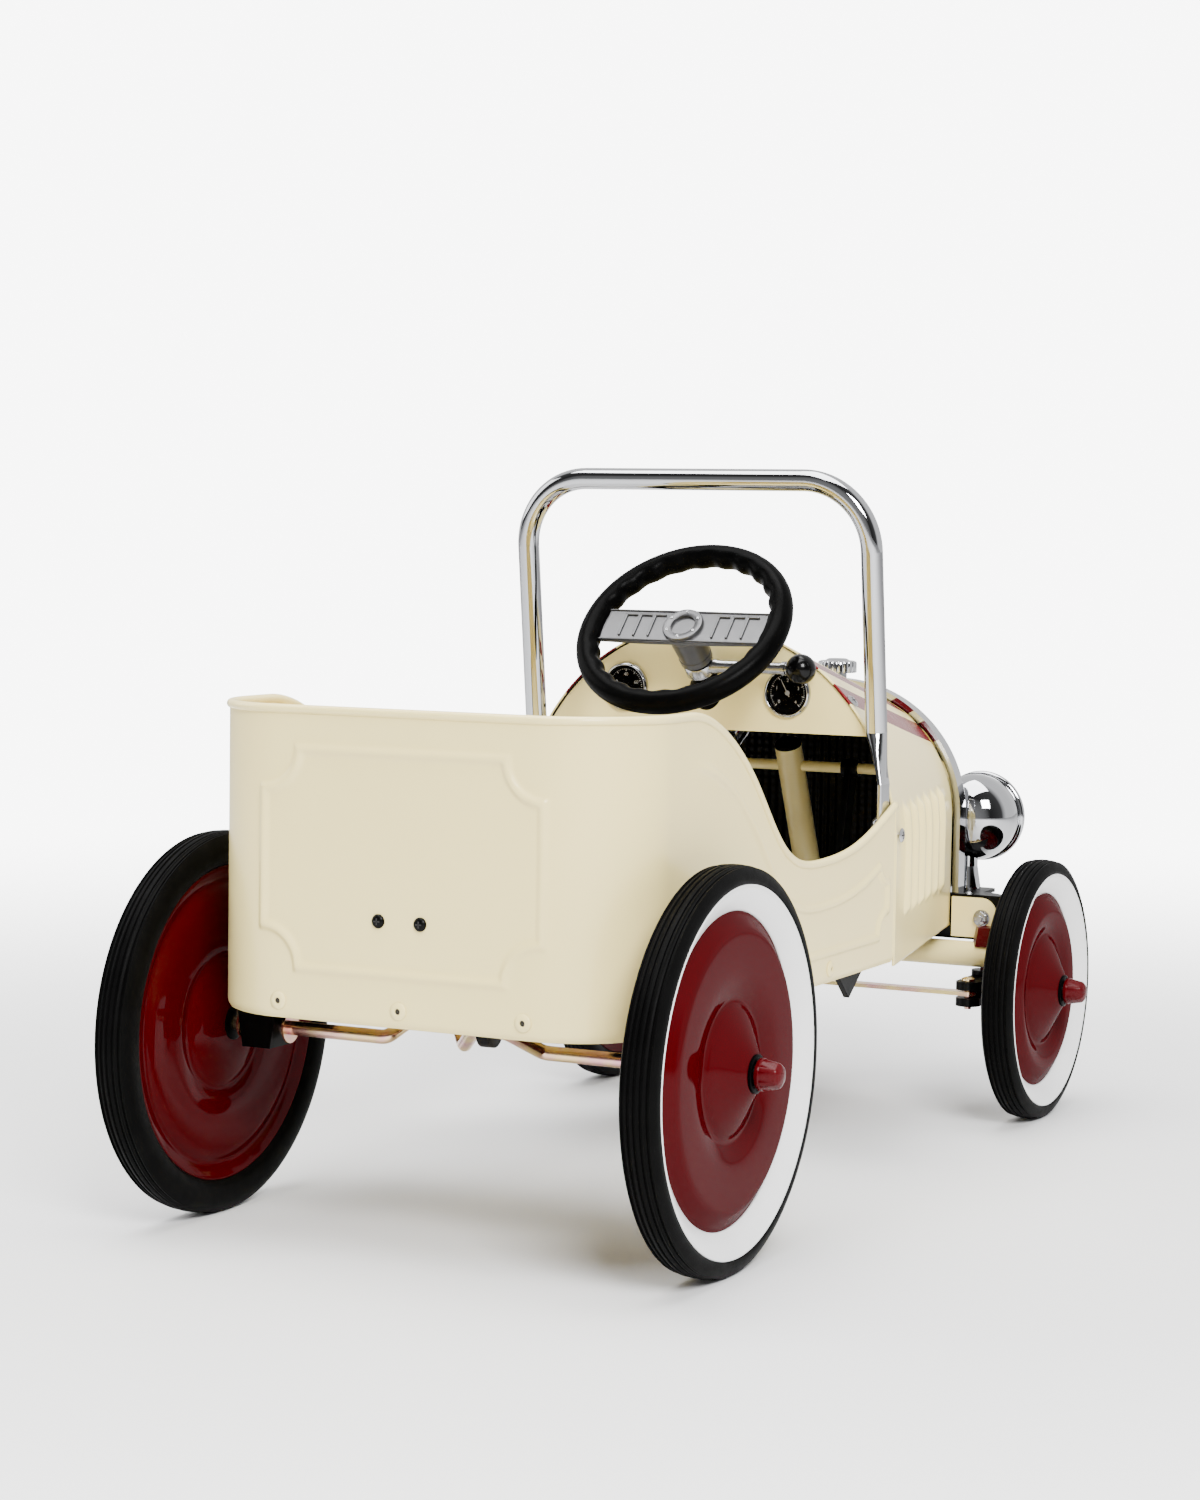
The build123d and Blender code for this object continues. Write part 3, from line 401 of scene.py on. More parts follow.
def press(s, y, z):
    """How far the pressing stands out at a place on the tub."""
    height = bead(back_frame(s, z))
    if y < TUB_REAR - CORNER:
        height = max(height, bead(side_frame(y, z)) * (1 - smoothstep(225, 262, y)))
    return height


def make_tub():
    rows = 118
    foot_radius = 5
    lip = [(12, 0), (8, 0)] + [
        (foot_radius * (1 - math.sin(a)), foot_radius * (1 - math.cos(a)))
        for a in np.linspace(0, math.pi / 2, 5)
    ]
    outer = []
    plan = tub_plan(1.6)
    for level in range(len(lip) + rows):
        for x, y, nx, ny, s in plan:
            top = tub_edge(y) - 2
            if level < len(lip):
                inset, rise = lip[level]
                z = TUB_FOOT + rise
            else:
                part = (level - len(lip) + 1) / rows
                z = TUB_FOOT + foot_radius + (top - TUB_FOOT - foot_radius) * part
                inset = -press(s, y, z)
            outer.append((x - nx * inset, y - ny * inset, z))
    parts = [(outer, grid_faces(len(lip) + rows, len(plan)))]
    inner = []
    coarse = tub_plan(7)
    for part in np.linspace(0, 1, 24):
        for x, y, nx, ny, s in coarse:
            z = TUB_FOOT + 1 + (tub_edge(y) - 3 - TUB_FOOT) * part
            inner.append((x - nx * 1.5, y - ny * 1.5, z))
    parts.append((inner, [face[::-1] for face in grid_faces(24, len(coarse))]))
    rim_path = [
        (x + nx * -0.75, y + ny * -0.75, tub_edge(y) - 2.4) for x, y, nx, ny, s in tub_plan(3)
    ]
    parts.append(sweep(rim_path, circle(2.7, 16), up=(0, 0, 1)))
    for side in (-1, 1):
        front_edge = [
            (side * (HALF_WIDTH - 0.7), TUB_SEAM + 0.8, z)
            for z in np.linspace(TUB_FOOT + 4, tub_edge(TUB_SEAM) - 2, 30)
        ]
        parts.append(sweep(front_edge, circle(1.1, 10)))
    tub = add_mesh("tub_shell", *joined(parts))
    finish(tub, "chassis", "cream_paint", CREAM, replaces=("body_tub",))


make_tub()


# ------------------------------------------------------------------ hood with louvres and stripes
hood_low, hood_high = box_mm("hood_panel")
HOOD_REAR = hood_high[1]
HOOD_FRONT = hood_low[1]
HOOD_FOOT = hood_low[2]
REAR_ARCH = np.array((145, 152.5, 215))
FRONT_ARCH = np.array((100, 95, 220))
LOUVRES = [-118, -147, -175, -203, -232, -261]
LOUVRE_LOW = 166
LOUVRE_HIGH = 247
LOUVRE_HEIGHT = 4.2


def louvre(y, z):
    """Height of the pressed louvres: each opens towards the driver and closes gently towards the nose."""
    height = 0
    for place in LOUVRES:
        across = y - place
        if abs(across) > 12:
            continue
        ends = min(z - LOUVRE_LOW, LOUVRE_HIGH - z)
        shape = smoothstep(-12, 3, across) * (1 - smoothstep(4.5, 7.5, across))
        height = max(height, shape * smoothstep(0, 9, ends))
    return height * LOUVRE_HEIGHT


def hood_point(part, turn, angle):
    """Point on the hood and its outward normal; angle 0 is the springing line, 90 degrees the ridge."""
    half, rise, spring = REAR_ARCH + (FRONT_ARCH - REAR_ARCH) * part
    c, s = math.cos(angle), math.sin(angle)
    normal = np.array((turn * c / half, 0, s / rise))
    return np.array((turn * half * c, HOOD_REAR + (HOOD_FRONT - HOOD_REAR) * part, spring + rise * s)), normal


def make_hood():
    lengthwise = sorted(
        set(np.linspace(0, 1, 80)) | {
            (HOOD_REAR - y) / (HOOD_REAR - HOOD_FRONT) for y in np.arange(-275, -106, 1.0)
        }
    )
    bands = [(0, 10), (1, 5), (2, 8), (3, 5), (4, 26)]
    verts = []
    stripe_columns = set()
    for part in lengthwise:
        half, _, spring = REAR_ARCH + (FRONT_ARCH - REAR_ARCH) * part
        y = HOOD_REAR + (HOOD_FRONT - HOOD_REAR) * part
        marks = [
            math.radians(a + (b - a) * part)
            for a, b in ((0, 0), (41, 35), (48, 46), (54, 52.5), (61, 62.5), (90, 90))
        ]
        right = []
        for z in np.linspace(HOOD_FOOT, spring, 56, endpoint=False):
            right.append((np.array((half, y, z)), np.array((1.0, 0, 0)), False))
        for (band, steps), low, high in zip(bands, marks, marks[1:]):
            count = 44 if band == 0 else steps
            for angle in np.linspace(low, high, count, endpoint=False):
                point, normal = hood_point(part, 1, angle)
                right.append((point, normal / np.linalg.norm(normal), band in (1, 3)))
        ridge, normal = hood_point(part, 1, math.pi / 2)
        row = []
        for point, normal, striped in right:
            lift = louvre(y, point[2]) if point[2] < LOUVRE_HIGH + 1 else 0
            row.append((point + normal * lift, striped))
        whole = [(p * (-1, 1, 1), striped) for p, striped in row] + [(ridge, False)]
        whole += [(p, striped) for p, striped in reversed(row)]
        if not stripe_columns:
            count = len(row)
            stripe_columns = {i for i, (p, striped) in enumerate(row) if striped}
            stripe_columns |= {2 * count - 1 - i for i in list(stripe_columns)}
        verts.extend(p for p, striped in whole)
    columns = len(verts) // len(lengthwise)
    hood = add_mesh("hood_skin", verts, [face[::-1] for face in grid_faces(len(lengthwise), columns)])
    hood.data.materials.append(CREAM)
    hood.data.materials.append(STRIPE)
    # Black for the inner side of the sheet is painted shade: the inside of the hood is dark only because it
    # is unlit.
    hood.data.materials.append(BLACK)
    for polygon in hood.data.polygons:
        if min(i % columns for i in polygon.vertices) in stripe_columns:
            polygon.material_index = 1
    sheet = shell(hood, 1.5, -1.0)
    sheet.modifiers["sheet"].use_rim = True
    # The offset puts this painted shade on the inner side of the sheet.
    sheet.modifiers["sheet"].material_offset = 2
    sheet.modifiers["sheet"].material_offset_rim = 0
    finish(hood, "chassis", "cream_paint", replaces=("hood_panel",))


make_hood()

# ------------------------------------------------------------------ wheels
TYRE_FACE = 12


def wheel_place(name):
    """Centre of a wheel and the outward direction, from its tyre's box."""
    low, high = box_mm(name + "_tyre")
    centre = (low + high) / 2
    return centre, (high[2] - low[2]) / 2, 1 if centre[0] > 0 else -1


def wheel_body(name):
    return "rear_axle" if name == "rear_left" else name + "_wheel"


def hexagonal(flat_share):
    """Radius rule that turns a circle into a rounded hexagon; flat_share(along) says how much."""

    def radius(along, r, angle):
        turned_angle = (angle + math.pi / 6) % (math.pi / 3) - math.pi / 6
        flat = r * math.cos(math.pi / 6) / math.cos(turned_angle) * 1.06
        share = flat_share(along)
        return min(r, r * (1 - share) + min(flat, r) * share)

    return radius


def make_wheel(name):
    centre, radius, side = wheel_place(name)
    outward = (side, 0, 0)
    body = wheel_body(name)
    rear = name.startswith("rear")
    wall_out, wall_in = (109, 93) if rear else (86, 71)
    seat = wall_in + 6
    bulge = wall_in - 14
    face = TYRE_FACE

    tread = [(-face, seat + 4), (-face, radius - 9), (-face + 0.5, radius - 5.5), (-face + 2, radius - 2.6)]
    groove = 1.0
    for middle in (-7.6, -3.8, 0, 3.8, 7.6):
        top = radius - 0.10 * abs(middle) - (0.5 if abs(middle) > 7 else 0)
        tread += [
            (middle - 1.5, top), (middle - 0.9, top - 0.1), (middle - 0.5, top - groove),
            (middle + 0.5, top - groove), (middle + 0.9, top - 0.1), (middle + 1.5, top),
        ]
    tread += [
        (face - 2, radius - 2.6), (face - 0.5, radius - 5.5), (face, radius - 8), (face, wall_out + 1.2),
        (face - 0.5, wall_out + 0.25), (face - 2.4, wall_out + 0.2), (face - 8, seat), (-face + 4, seat),
    ]
    tread = [(a, r if abs(r - radius) > 0.3 else min(r, radius)) for a, r in tread]
    tyre = add_mesh(name + "_tyre_ribbed", *lathe(tread, centre, outward, 180, closed=True))
    sharp_by_angle(tyre, 50)
    finish(tyre, body, "tyre_rubber", RUBBER, replaces=(name + "_tyre",))

    ring = [(face - 2.4, wall_out - 0.1), (face - 0.6, wall_out), (face + 0.0, wall_out - 0.7)]
    for t in np.linspace(0.08, 0.92, 9):
        along = face - 8.8 * t + 0.9 * math.sin(math.pi * t)
        ring.append((along - 0.5, wall_out + (wall_in - wall_out) * t))
    ring += [(face - 8.9, wall_in + 0.15), (face - 9.8, wall_in + 0.3), (face - 10.6, wall_in + 1.2)]
    band = add_mesh(name + "_white_band", *lathe(ring, centre, outward, 180, closed=True))
    finish(band, body, "white_rubber", WHITEWALL, replaces=(name + "_whitewall",))

    edge = [
        (face - 10.9, wall_in + 0.6), (face - 9.6, wall_in - 0.6), (face - 8.8, wall_in - 2.4),
        (face - 6, wall_in - 6.5),
    ]
    dish = [
        (face - 3.3, bulge + 3), (face - 2.9, bulge - 3), (face - 3.6, 58), (face - 6.2, 47),
        (face - 7.6, 42.5),
    ] if rear else [
        (face - 3.4, bulge + 2), (face - 3.2, bulge - 1.5), (face - 4.4, 49.5), (face - 6.6, 44.5),
        (face - 7.6, 41.5),
    ]
    cone = [
        (face - 7.3, 39.5), (face - 7.3, 39.5), (face - 6.2, 37.6), (face - 4.6, 35), (face + 0.5, 25),
        (face + 3.6, 19), (face + 6.4, 14), (face + 7.9, 11), (face + 8, 9.5), (face + 8, 8.2),
    ]
    outer = smooth_line(edge + dish + cone, steps=4)
    inner = smooth_line([
        (-face, 8.2), (-face, 11), (-face + 0.9, 20), (-face + 3.4, 30), (-face + 6, 38), (-face + 6, 38),
        (-face + 8, 43), (-face + 5.5, 52), (-face + 4, bulge), (-face + 7.6, wall_in - 5),
        (-face + 6, wall_in), (-face + 4.2, seat - 1.2), (-face + 4.2, seat - 0.3), (-face + 4.2, seat - 0.3),
        (face - 9, seat - 0.3), (face - 9, seat - 0.3), (face - 9, seat - 1.7), (face - 9, seat - 1.7),
        (-face + 6, seat - 1.7),
    ], steps=3)
    disc = add_mesh(name + "_pressed_disc", *joined([
        lathe([tuple(p) for p in outer], centre, outward, 144),
        lathe([tuple(p) for p in inner], centre, outward, 144),
    ]))
    shell(disc, 1.2, 0)
    finish(disc, body, "red_paint", RED, replaces=(name + "_wheel_disc",))

    bore = 4.6 if rear else 4.1
    bush = add_mesh(name + "_flanged_bush", *joined([
        lathe([
            (face + 8.2, bore), (face + 8.2, 11.5), (face + 9.8, 11.5), (face + 10.3, 10.8),
            (face + 10.4, 9.9), (face + 9.7, 9.5), (face + 9.7, 7.2), (face + 10.5, 6.9), (face + 10.5, bore),
        ], centre, outward, 64, closed=True),
        lathe([
            (-face - 1.5, bore), (-face - 1.5, 10.4), (-face - 1.0, 11), (-face - 0.1, 11),
            (-face - 0.1, 7.9), (face + 8.2, 7.9), (face + 8.2, bore),
        ], centre, outward, 64, closed=True),
    ]))
    sharp_by_angle(bush, 40)
    finish(bush, body, "hub_black", GRIP, replaces=(name + "_hub_bush",))

    start = face + 11.2

    def flats(along):
        return float(smoothstep(start + 2.6, start + 3.2, along)) * 0.9

    cap = add_mesh(name + "_hex_cap", *lathe([
        (start, 4.6), (start, 9.2), (start + 0.5, 9.6), (start + 2.2, 9.6), (start + 2.8, 9.1),
        (start + 3.0, 9.35), (start + 11.6, 7.7), (start + 12.8, 7.1), (start + 13.7, 6.0),
        (start + 14.5, 4.2), (start + 14.9, 1.5), (start + 15, 0.3),
    ], centre, outward, 96, radius_of=hexagonal(flats)))
    sharp_by_angle(cap, 40)
    cap_body = "rear_axle" if rear else name.replace("front", "knuckle")
    finish(cap, cap_body, "red_plastic", CAP_RED, replaces=(name + "_hub_cap",))


CAP_RED = material("red_cap_plastic", (0.060, 0.0003, 0.002), rough=0.28, coat=0.04, coat_rough=0.1,
                   grain=0.08, grain_scale=800, blotch=0.06, blotch_scale=120, specular=0.1)

for wheel in WHEELS:
    make_wheel(wheel)

# ------------------------------------------------------------------ steering wheel, boss and lever ball
spoke_low, spoke_high = box_mm("steering_rim")
WHEEL_CENTRE = (spoke_low + spoke_high) / 2
COLUMN_AXIS = np.array((0, math.sqrt(0.5), math.sqrt(0.5)))
GRIP_CIRCLE = 69
GRIP_RADIUS = 8.5
ACROSS = np.array((1.0, 0, 0))
DOWN = np.cross(COLUMN_AXIS, ACROSS)


def make_steering():
    verts = []
    turns, sides = 288, 32
    for i in range(turns):
        around = 2 * math.pi * i / turns
        spoke = np.array((math.cos(around), math.sin(around)))
        grip = 0.5 - 0.5 * math.cos(24 * around + math.pi)
        grip *= 1 - math.exp(-((math.sin(around) / 0.22) ** 2))
        for j in range(sides):
            angle = 2 * math.pi * j / sides
            inside = max(0.0, -math.cos(angle))
            r = GRIP_RADIUS - 1.9 * grip * inside ** 1.5
            reach = GRIP_CIRCLE + r * math.cos(angle)
            outward = ACROSS * spoke[0] + DOWN * spoke[1]
            verts.append(WHEEL_CENTRE + outward * reach + COLUMN_AXIS * r * math.sin(angle))
    rim = add_mesh("steering_grip", verts, grid_faces(turns, sides, wrap_rows=True, wrap_columns=True))
    finish(rim, "steering", "black_plastic", GRIP, replaces=("steering_rim",))

    parts = []
    outline = []
    for x, half in ((62, 14), (40, 14.8), (20, 15.2), (0, 15.2)):
        outline.append((x, half))
    bar_outline = [(x, -h) for x, h in outline] + [(-x, -h) for x, h in reversed(outline[:-1])]
    bar_outline += [(-x, h) for x, h in outline] + [(x, h) for x, h in reversed(outline[:-1])]
    top = [(x, y, 1.3) for x, y in bar_outline]
    bottom = [(x, y, -1.4) for x, y in bar_outline]
    count = len(bar_outline)
    sides_faces = [(i, (i + 1) % count, count + (i + 1) % count, count + i) for i in range(count)]
    parts.append((bottom + top, sides_faces + [tuple(range(count))[::-1], tuple(range(count, 2 * count))]))
    for side in (-1, 1):
        for x in (24, 35, 46):
            stem = block((side * x - 0.8, -10.4, 1.2), (side * x + 0.8, 10.2, 2.6))
            head = block((side * x - 8.2, -10.4, 1.2), (side * x + 0.8, -8.8, 2.6))
            parts += [stem, head]
        parts.append(block((-61, side * 13.6 - 0.6, 1.2), (61, side * 13.6 + 0.6, 2.2)))
    bar = add_mesh("spoke_bar", *placed(joined(parts), WHEEL_CENTRE, ACROSS, COLUMN_AXIS), smooth=False)
    bevel(bar, 0.45, 2)
    finish(bar, "steering", "silver_plastic", SILVER, replaces=("steering_spokes",))

    boss = add_mesh("steering_boss", *lathe([
        (-31, 5.2), (-31, 10.8), (-30.4, 11.5), (-26, 11.7), (-25.4, 11.2), (-5, 13), (-4, 14.3),
        (-3.4, 14.6), (3.2, 14.6),
        (4, 14.0), (4.2, 12.8), (3.9, 9.6), (3.4, 8.7), (-7.6, 8.2), (-8.2, 7.4), (-8.2, 5.2),
    ], WHEEL_CENTRE, COLUMN_AXIS, 80, closed=True))
    sharp_by_angle(boss, 40)
    finish(boss, "steering", "silver_plastic", SILVER)

    heads = []
    for k in range(6):
        a = math.radians(30 + 60 * k)
        spot = WHEEL_CENTRE + (ACROSS * math.cos(a) + DOWN * math.sin(a)) * 11.4 + COLUMN_AXIS * 3.6
        heads.append(lathe([(-0.6, 1.1), (0.8, 1.1), (1.1, 0.8), (1.1, 0.5), (0.5, 0.4), (0.5, 0.1)], spot,
                           COLUMN_AXIS, 24))
    heads.append(lathe(
        [(-1, 4.9), (2.8, 4.9), (3.6, 4.2), (3.6, 2.2), (2.4, 1.8), (2.4, 0.2)],
        WHEEL_CENTRE - COLUMN_AXIS * 8.4, COLUMN_AXIS, 40, radius_of=hexagonal(lambda a: 0.9),
    ))
    screws = add_mesh("steering_hub_screws", *joined(heads))
    sharp_by_angle(screws, 40)
    finish(screws, "steering", "steel", STEEL)

    collar = WHEEL_CENTRE - COLUMN_AXIS * 38
    ball_low, ball_high = box_mm("gear_lever_ball")
    ball = (ball_low + ball_high) / 2
    reach = ball - collar
    length = np.linalg.norm(reach)
    lever = add_mesh("lever_arm", *joined([
        lathe([
            (-4.4, 5.1), (-4.4, 10), (-3.7, 10.7), (4.0, 10.7), (4.9, 10), (4.9, 5.1),
        ], collar, COLUMN_AXIS, 56, closed=True),
        lathe([
            (7, 5.4), (14, 5.3), (16, 4.6), (length - 14, 4.2), (length - 13.5, 5.0), (length - 10.8, 5.0),
            (length - 10.4, 4.3), (length - 6, 4.0),
        ], collar, reach, 32),
    ]))
    sharp_by_angle(lever, 40)
    finish(lever, "gear_lever", "steel", STEEL, replaces=("gear_lever",))
    turn = np.linspace(-1, 1, 33)
    radius = 10.5
    knob = add_mesh("lever_knob", *lathe(
        [(radius * math.sin(t * math.pi / 2), max(0.3, radius * math.cos(t * math.pi / 2))) for t in turn],
        ball, reach, 48,
    ))
    finish(knob, "gear_lever", "black_plastic", KNOB, replaces=("gear_lever_ball",))


KNOB = material("gloss_knob", (0.0014, 0.0014, 0.0014), rough=0.2, specular=0.1, coat=0.12, coat_rough=0.04,
                grain=0.03, blotch=0.2, blotch_scale=80)
make_steering()

# ------------------------------------------------------------------ gauges
def make_gauges():
    low, high = box_mm("gauge_bezels")
    dash_y = low[1]
    height = (low[2] + high[2]) / 2
    spread = high[0] - 17.5
    rings = []
    glasses = []
    faces = []
    marks = []
    for side in (-1, 1):
        centre = np.array((side * spread, dash_y, height))
        out = (0, 1, 0)
        rings.append(lathe([
            (0.05, 14.9), (0.05, 17.3), (0.8, 17.5), (1.6, 17.2), (2.6, 16.6), (3.3, 16.0), (3.5, 15.5),
            (3.2, 15.1), (1.8, 14.8),
        ], centre, out, 96, closed=True))
        faces.append(lathe([
            (-8, 0.3), (-8, 14.6), (0.5, 14.6), (0.9, 14.0), (0.6, 13.6), (0.6, 0.3),
        ], centre, out, 72))
        glasses.append(lathe([(1.9, 14.7), (2.2, 10), (2.45, 5), (2.5, 0.3)], centre, out, 64))
        for k in range(41):
            a = math.radians(225 - k * 6.75)
            long_mark = k % 5 == 0
            outer = 12.9
            inner = 10.9 if long_mark else 12.0
            wide = 0.28 if long_mark else 0.16
            direction = np.array((-math.cos(a), 0, math.sin(a)))
            square = np.array((-math.sin(a), 0, -math.cos(a)))
            corners = [
                centre + direction * r + square * w + np.array((0, 0.72, 0))
                for r, w in ((inner, -wide), (inner, wide), (outer, wide), (outer, -wide))
            ]
            marks.append((corners, [(0, 1, 2, 3)]))
        for k, label in enumerate(("0", "20", "40", "60", "80") if side > 0 else ("0", "1", "2", "3", "4")):
            a = math.radians(225 - k * 67.5)
            text = bpy.data.curves.new("dial_number", "FONT")
            text.body = label
            text.size = 3.4
            text.align_x = "CENTER"
            text.align_y = "CENTER"
            holder = bpy.data.objects.new("dial_number", text)
            bpy.context.scene.collection.objects.link(holder)
            bpy.context.view_layer.update()
            evaluated = holder.evaluated_get(bpy.context.evaluated_depsgraph_get())
            shape = bpy.data.meshes.new_from_object(evaluated)
            spot = centre + np.array((-math.cos(a) * 8.7, 0.72, math.sin(a) * 8.7))
            marks.append((
                [spot + np.array((-v.co.x, 0, v.co.y)) for v in shape.vertices],
                [tuple(p.vertices) for p in shape.polygons],
            ))
            bpy.data.objects.remove(holder)
            bpy.data.meshes.remove(shape)
        a = math.radians(160 if side > 0 else 118)
        direction = np.array((-math.cos(a), 0, math.sin(a)))
        square = np.array((-math.sin(a), 0, -math.cos(a)))
        lift = np.array((0, 1.1, 0))
        marks.append(([
            centre + lift - direction * 3 - square * 0.5, centre + lift - direction * 3 + square * 0.5,
            centre + lift + direction * 10.6 + square * 0.12,
            centre + lift + direction * 10.6 - square * 0.12,
        ], [(0, 1, 2, 3)]))
        marks.append(lathe([(0.7, 1.7), (1.5, 1.6), (1.7, 1.2), (1.7, 0.3)], centre, out, 32))
    bezels = add_mesh("gauge_chrome_rings", *joined(rings))
    finish(bezels, "chassis", "chrome", CHROME, replaces=("gauge_bezels",))
    dials = add_mesh("gauge_dials", *joined(faces))
    sharp_by_angle(dials, 40)
    finish(dials, "chassis", "gauge_black", DIAL, replaces=("gauge_faces",))
    finish(add_mesh("gauge_marks", *joined(marks), smooth=False), "chassis", "gauge_black", PALE_INK)
    finish(add_mesh("gauge_glasses", *joined(glasses)), "chassis", "lamp_glass", CLEAR)


def clear_cover(name, tint, alpha, ripple):
    """Thin clear cover: mostly see-through with a gloss."""
    made = material(name, tint, rough=0.03, grain=0.02, blotch=0.01, rough_vary=0.01)
    made.node_tree.nodes["Principled BSDF"].inputs["Alpha"].default_value = alpha
    if ripple:
        nodes = made.node_tree.nodes
        wave = nodes.new("ShaderNodeTexWave")
        wave.bands_direction = "X"
        wave.inputs["Scale"].default_value = 60
        place = nodes.new("ShaderNodeTexCoord")
        made.node_tree.links.new(place.outputs["Object"], wave.inputs["Vector"])
        bump = nodes.new("ShaderNodeBump")
        bump.inputs["Distance"].default_value = 0.001
        made.node_tree.links.new(wave.outputs["Fac"], bump.inputs["Height"])
        made.node_tree.links.new(bump.outputs["Normal"], nodes["Principled BSDF"].inputs["Normal"])
    return made


CLEAR = clear_cover("gauge_cover", (0.02, 0.02, 0.02), 0.02, False)
LENS = clear_cover("lamp_cover", (0.95, 0.97, 1.0), 0.25, True)
make_gauges()

# ------------------------------------------------------------------ headlights
def make_lamps():
    lens_reach = 30.2
    high = box_mm("headlight_lenses")[1]
    bowl_low, bowl_high = box_mm("headlight_bowls")
    height = (bowl_low[2] + bowl_high[2]) / 2
    lamp_y = bowl_high[1] - 26
    bowls = []
    mirrors = []
    lenses = []
    for side in (-1, 1):
        centre = np.array((side * (high[0] - lens_reach), lamp_y, height))
        back = (0, 1, 0)
        curve = [
            (26 * math.sin(a), max(0.3, 33 * math.cos(a))) for a in np.linspace(math.pi / 2, 0, 30)
        ]
        bowls.append(lathe(curve + [
            (-4, 32.9), (-13.5, 32.3), (-14.2, 32.0), (-14.8, 32.2), (-15.2, 33.6), (-16.2, 34.4),
            (-18.4, 34.5), (-19.6, 33.9), (-20, 32.6), (-20, 30.9), (-18.6, 30.4), (-15, 30.6),
        ], centre, back, 96))
        bowls.append(lathe([
            (22.6, 0.3), (26.4, 2.4), (27.6, 2.2), (28.2, 1.4), (28.3, 0.3),
        ], centre, back, 40))
        mirrors.append(lathe([(-16, 30.1)] + [
            (-16 + 34 * (1 - (r / 30.0) ** 2) * 0.9, r) for r in (29.5, 27, 24, 20, 16, 12, 8, 4, 0.3)
        ], centre, back, 72))
        mirrors.append(lathe([
            (8, 3.0), (2, 3.6), (-6, 4.6), (-9, 3.6), (-10.4, 1.6), (-10.6, 0.3),
        ], centre, back, 32))
        lenses.append(lathe([
            (-17.4, 30.2), (-19.8, 30.1), (-21, 27.8), (-22.5, 24), (-24, 18.5), (-25.2, 11), (-25.7, 5),
            (-25.8, 0.3),
        ], centre, back, 96))
    shells = add_mesh("lamp_shells", *joined(bowls))
    sharp_by_angle(shells, 45)
    finish(shells, "chassis", "chrome", CHROME, replaces=("headlight_bowls",))
    finish(add_mesh("lamp_reflectors", *joined(mirrors)), "chassis", "chrome", CHROME)
    finish(add_mesh("lamp_glass_covers", *joined(lenses)), "chassis", "lamp_glass", LENS,
           replaces=("headlight_lenses",))


make_lamps()

# ------------------------------------------------------------------ radiator cap and core
def make_radiator():
    low, high = box_mm("radiator_cap")
    base = np.array(((low[0] + high[0]) / 2, (low[1] + high[1]) / 2, low[2]))

    def knurl(along, r, angle):
        return r - 0.6 * max(0.0, math.cos(angle * 22)) if r > 14.3 else r

    cap = add_mesh("knurled_cap", *lathe([
        (0, 0.3), (0, 7.4), (3.6, 7.4), (4.0, 14.1), (4.6, 14.9), (11.6, 14.9), (12.6, 14.4), (13.2, 12.8),
        (13.4, 9.4), (14.1, 8.4), (14.9, 6.8), (15, 0.3),
    ], base, (0, 0, 1), 240, radius_of=knurl))
    sharp_by_angle(cap, 40)
    finish(cap, "chassis", "chrome", CHROME, replaces=("radiator_cap",))

    grille_low, grille_high = box_mm("radiator_grille")
    half, rise, spring = FRONT_ARCH - (7.5, 7.5, 0)
    foot = grille_low[2] + 1
    verts = []
    columns = 121
    for x in np.linspace(-half, half, columns):
        top = spring + rise * math.sqrt(max(0.0, 1 - (x / half) ** 2))
        ripple = 1.2 * (1 - abs((x / 3.1) % 2 - 1))
        for t in np.linspace(0, 1, 60):
            z = foot + (top - foot) * t
            verts.append((x, grille_high[1] + 3 + ripple + 0.5 * math.cos(z * 1.05), z))
    core = add_mesh("radiator_core", verts, grid_faces(columns, 60))
    finish(core, "chassis", "black_paint", BLACK)


make_radiator()

# ------------------------------------------------------------------ screws, bolts and post plug
def cross_recess(depth, reach, spot, out):
    """Two crossed slots, as thin dark blocks set in a screw head: painted shade standing in for the recess.
    """
    arms = joined([
        block((-reach, -0.42, 0), (reach, 0.42, depth)), block((-0.42, -reach, 0), (0.42, reach, depth)),
    ])
    axis, first, _ = axes_for(out)
    return placed(arms, spot, first, axis)


# Near-black for screw slots and sockets: painted shade where the recess is not cut.
RECESS_SHADE = material("recess_painted_shade", (0.015, 0.014, 0.013), rough=0.6, grain=0.1, blotch=0.2, blotch_scale=200)


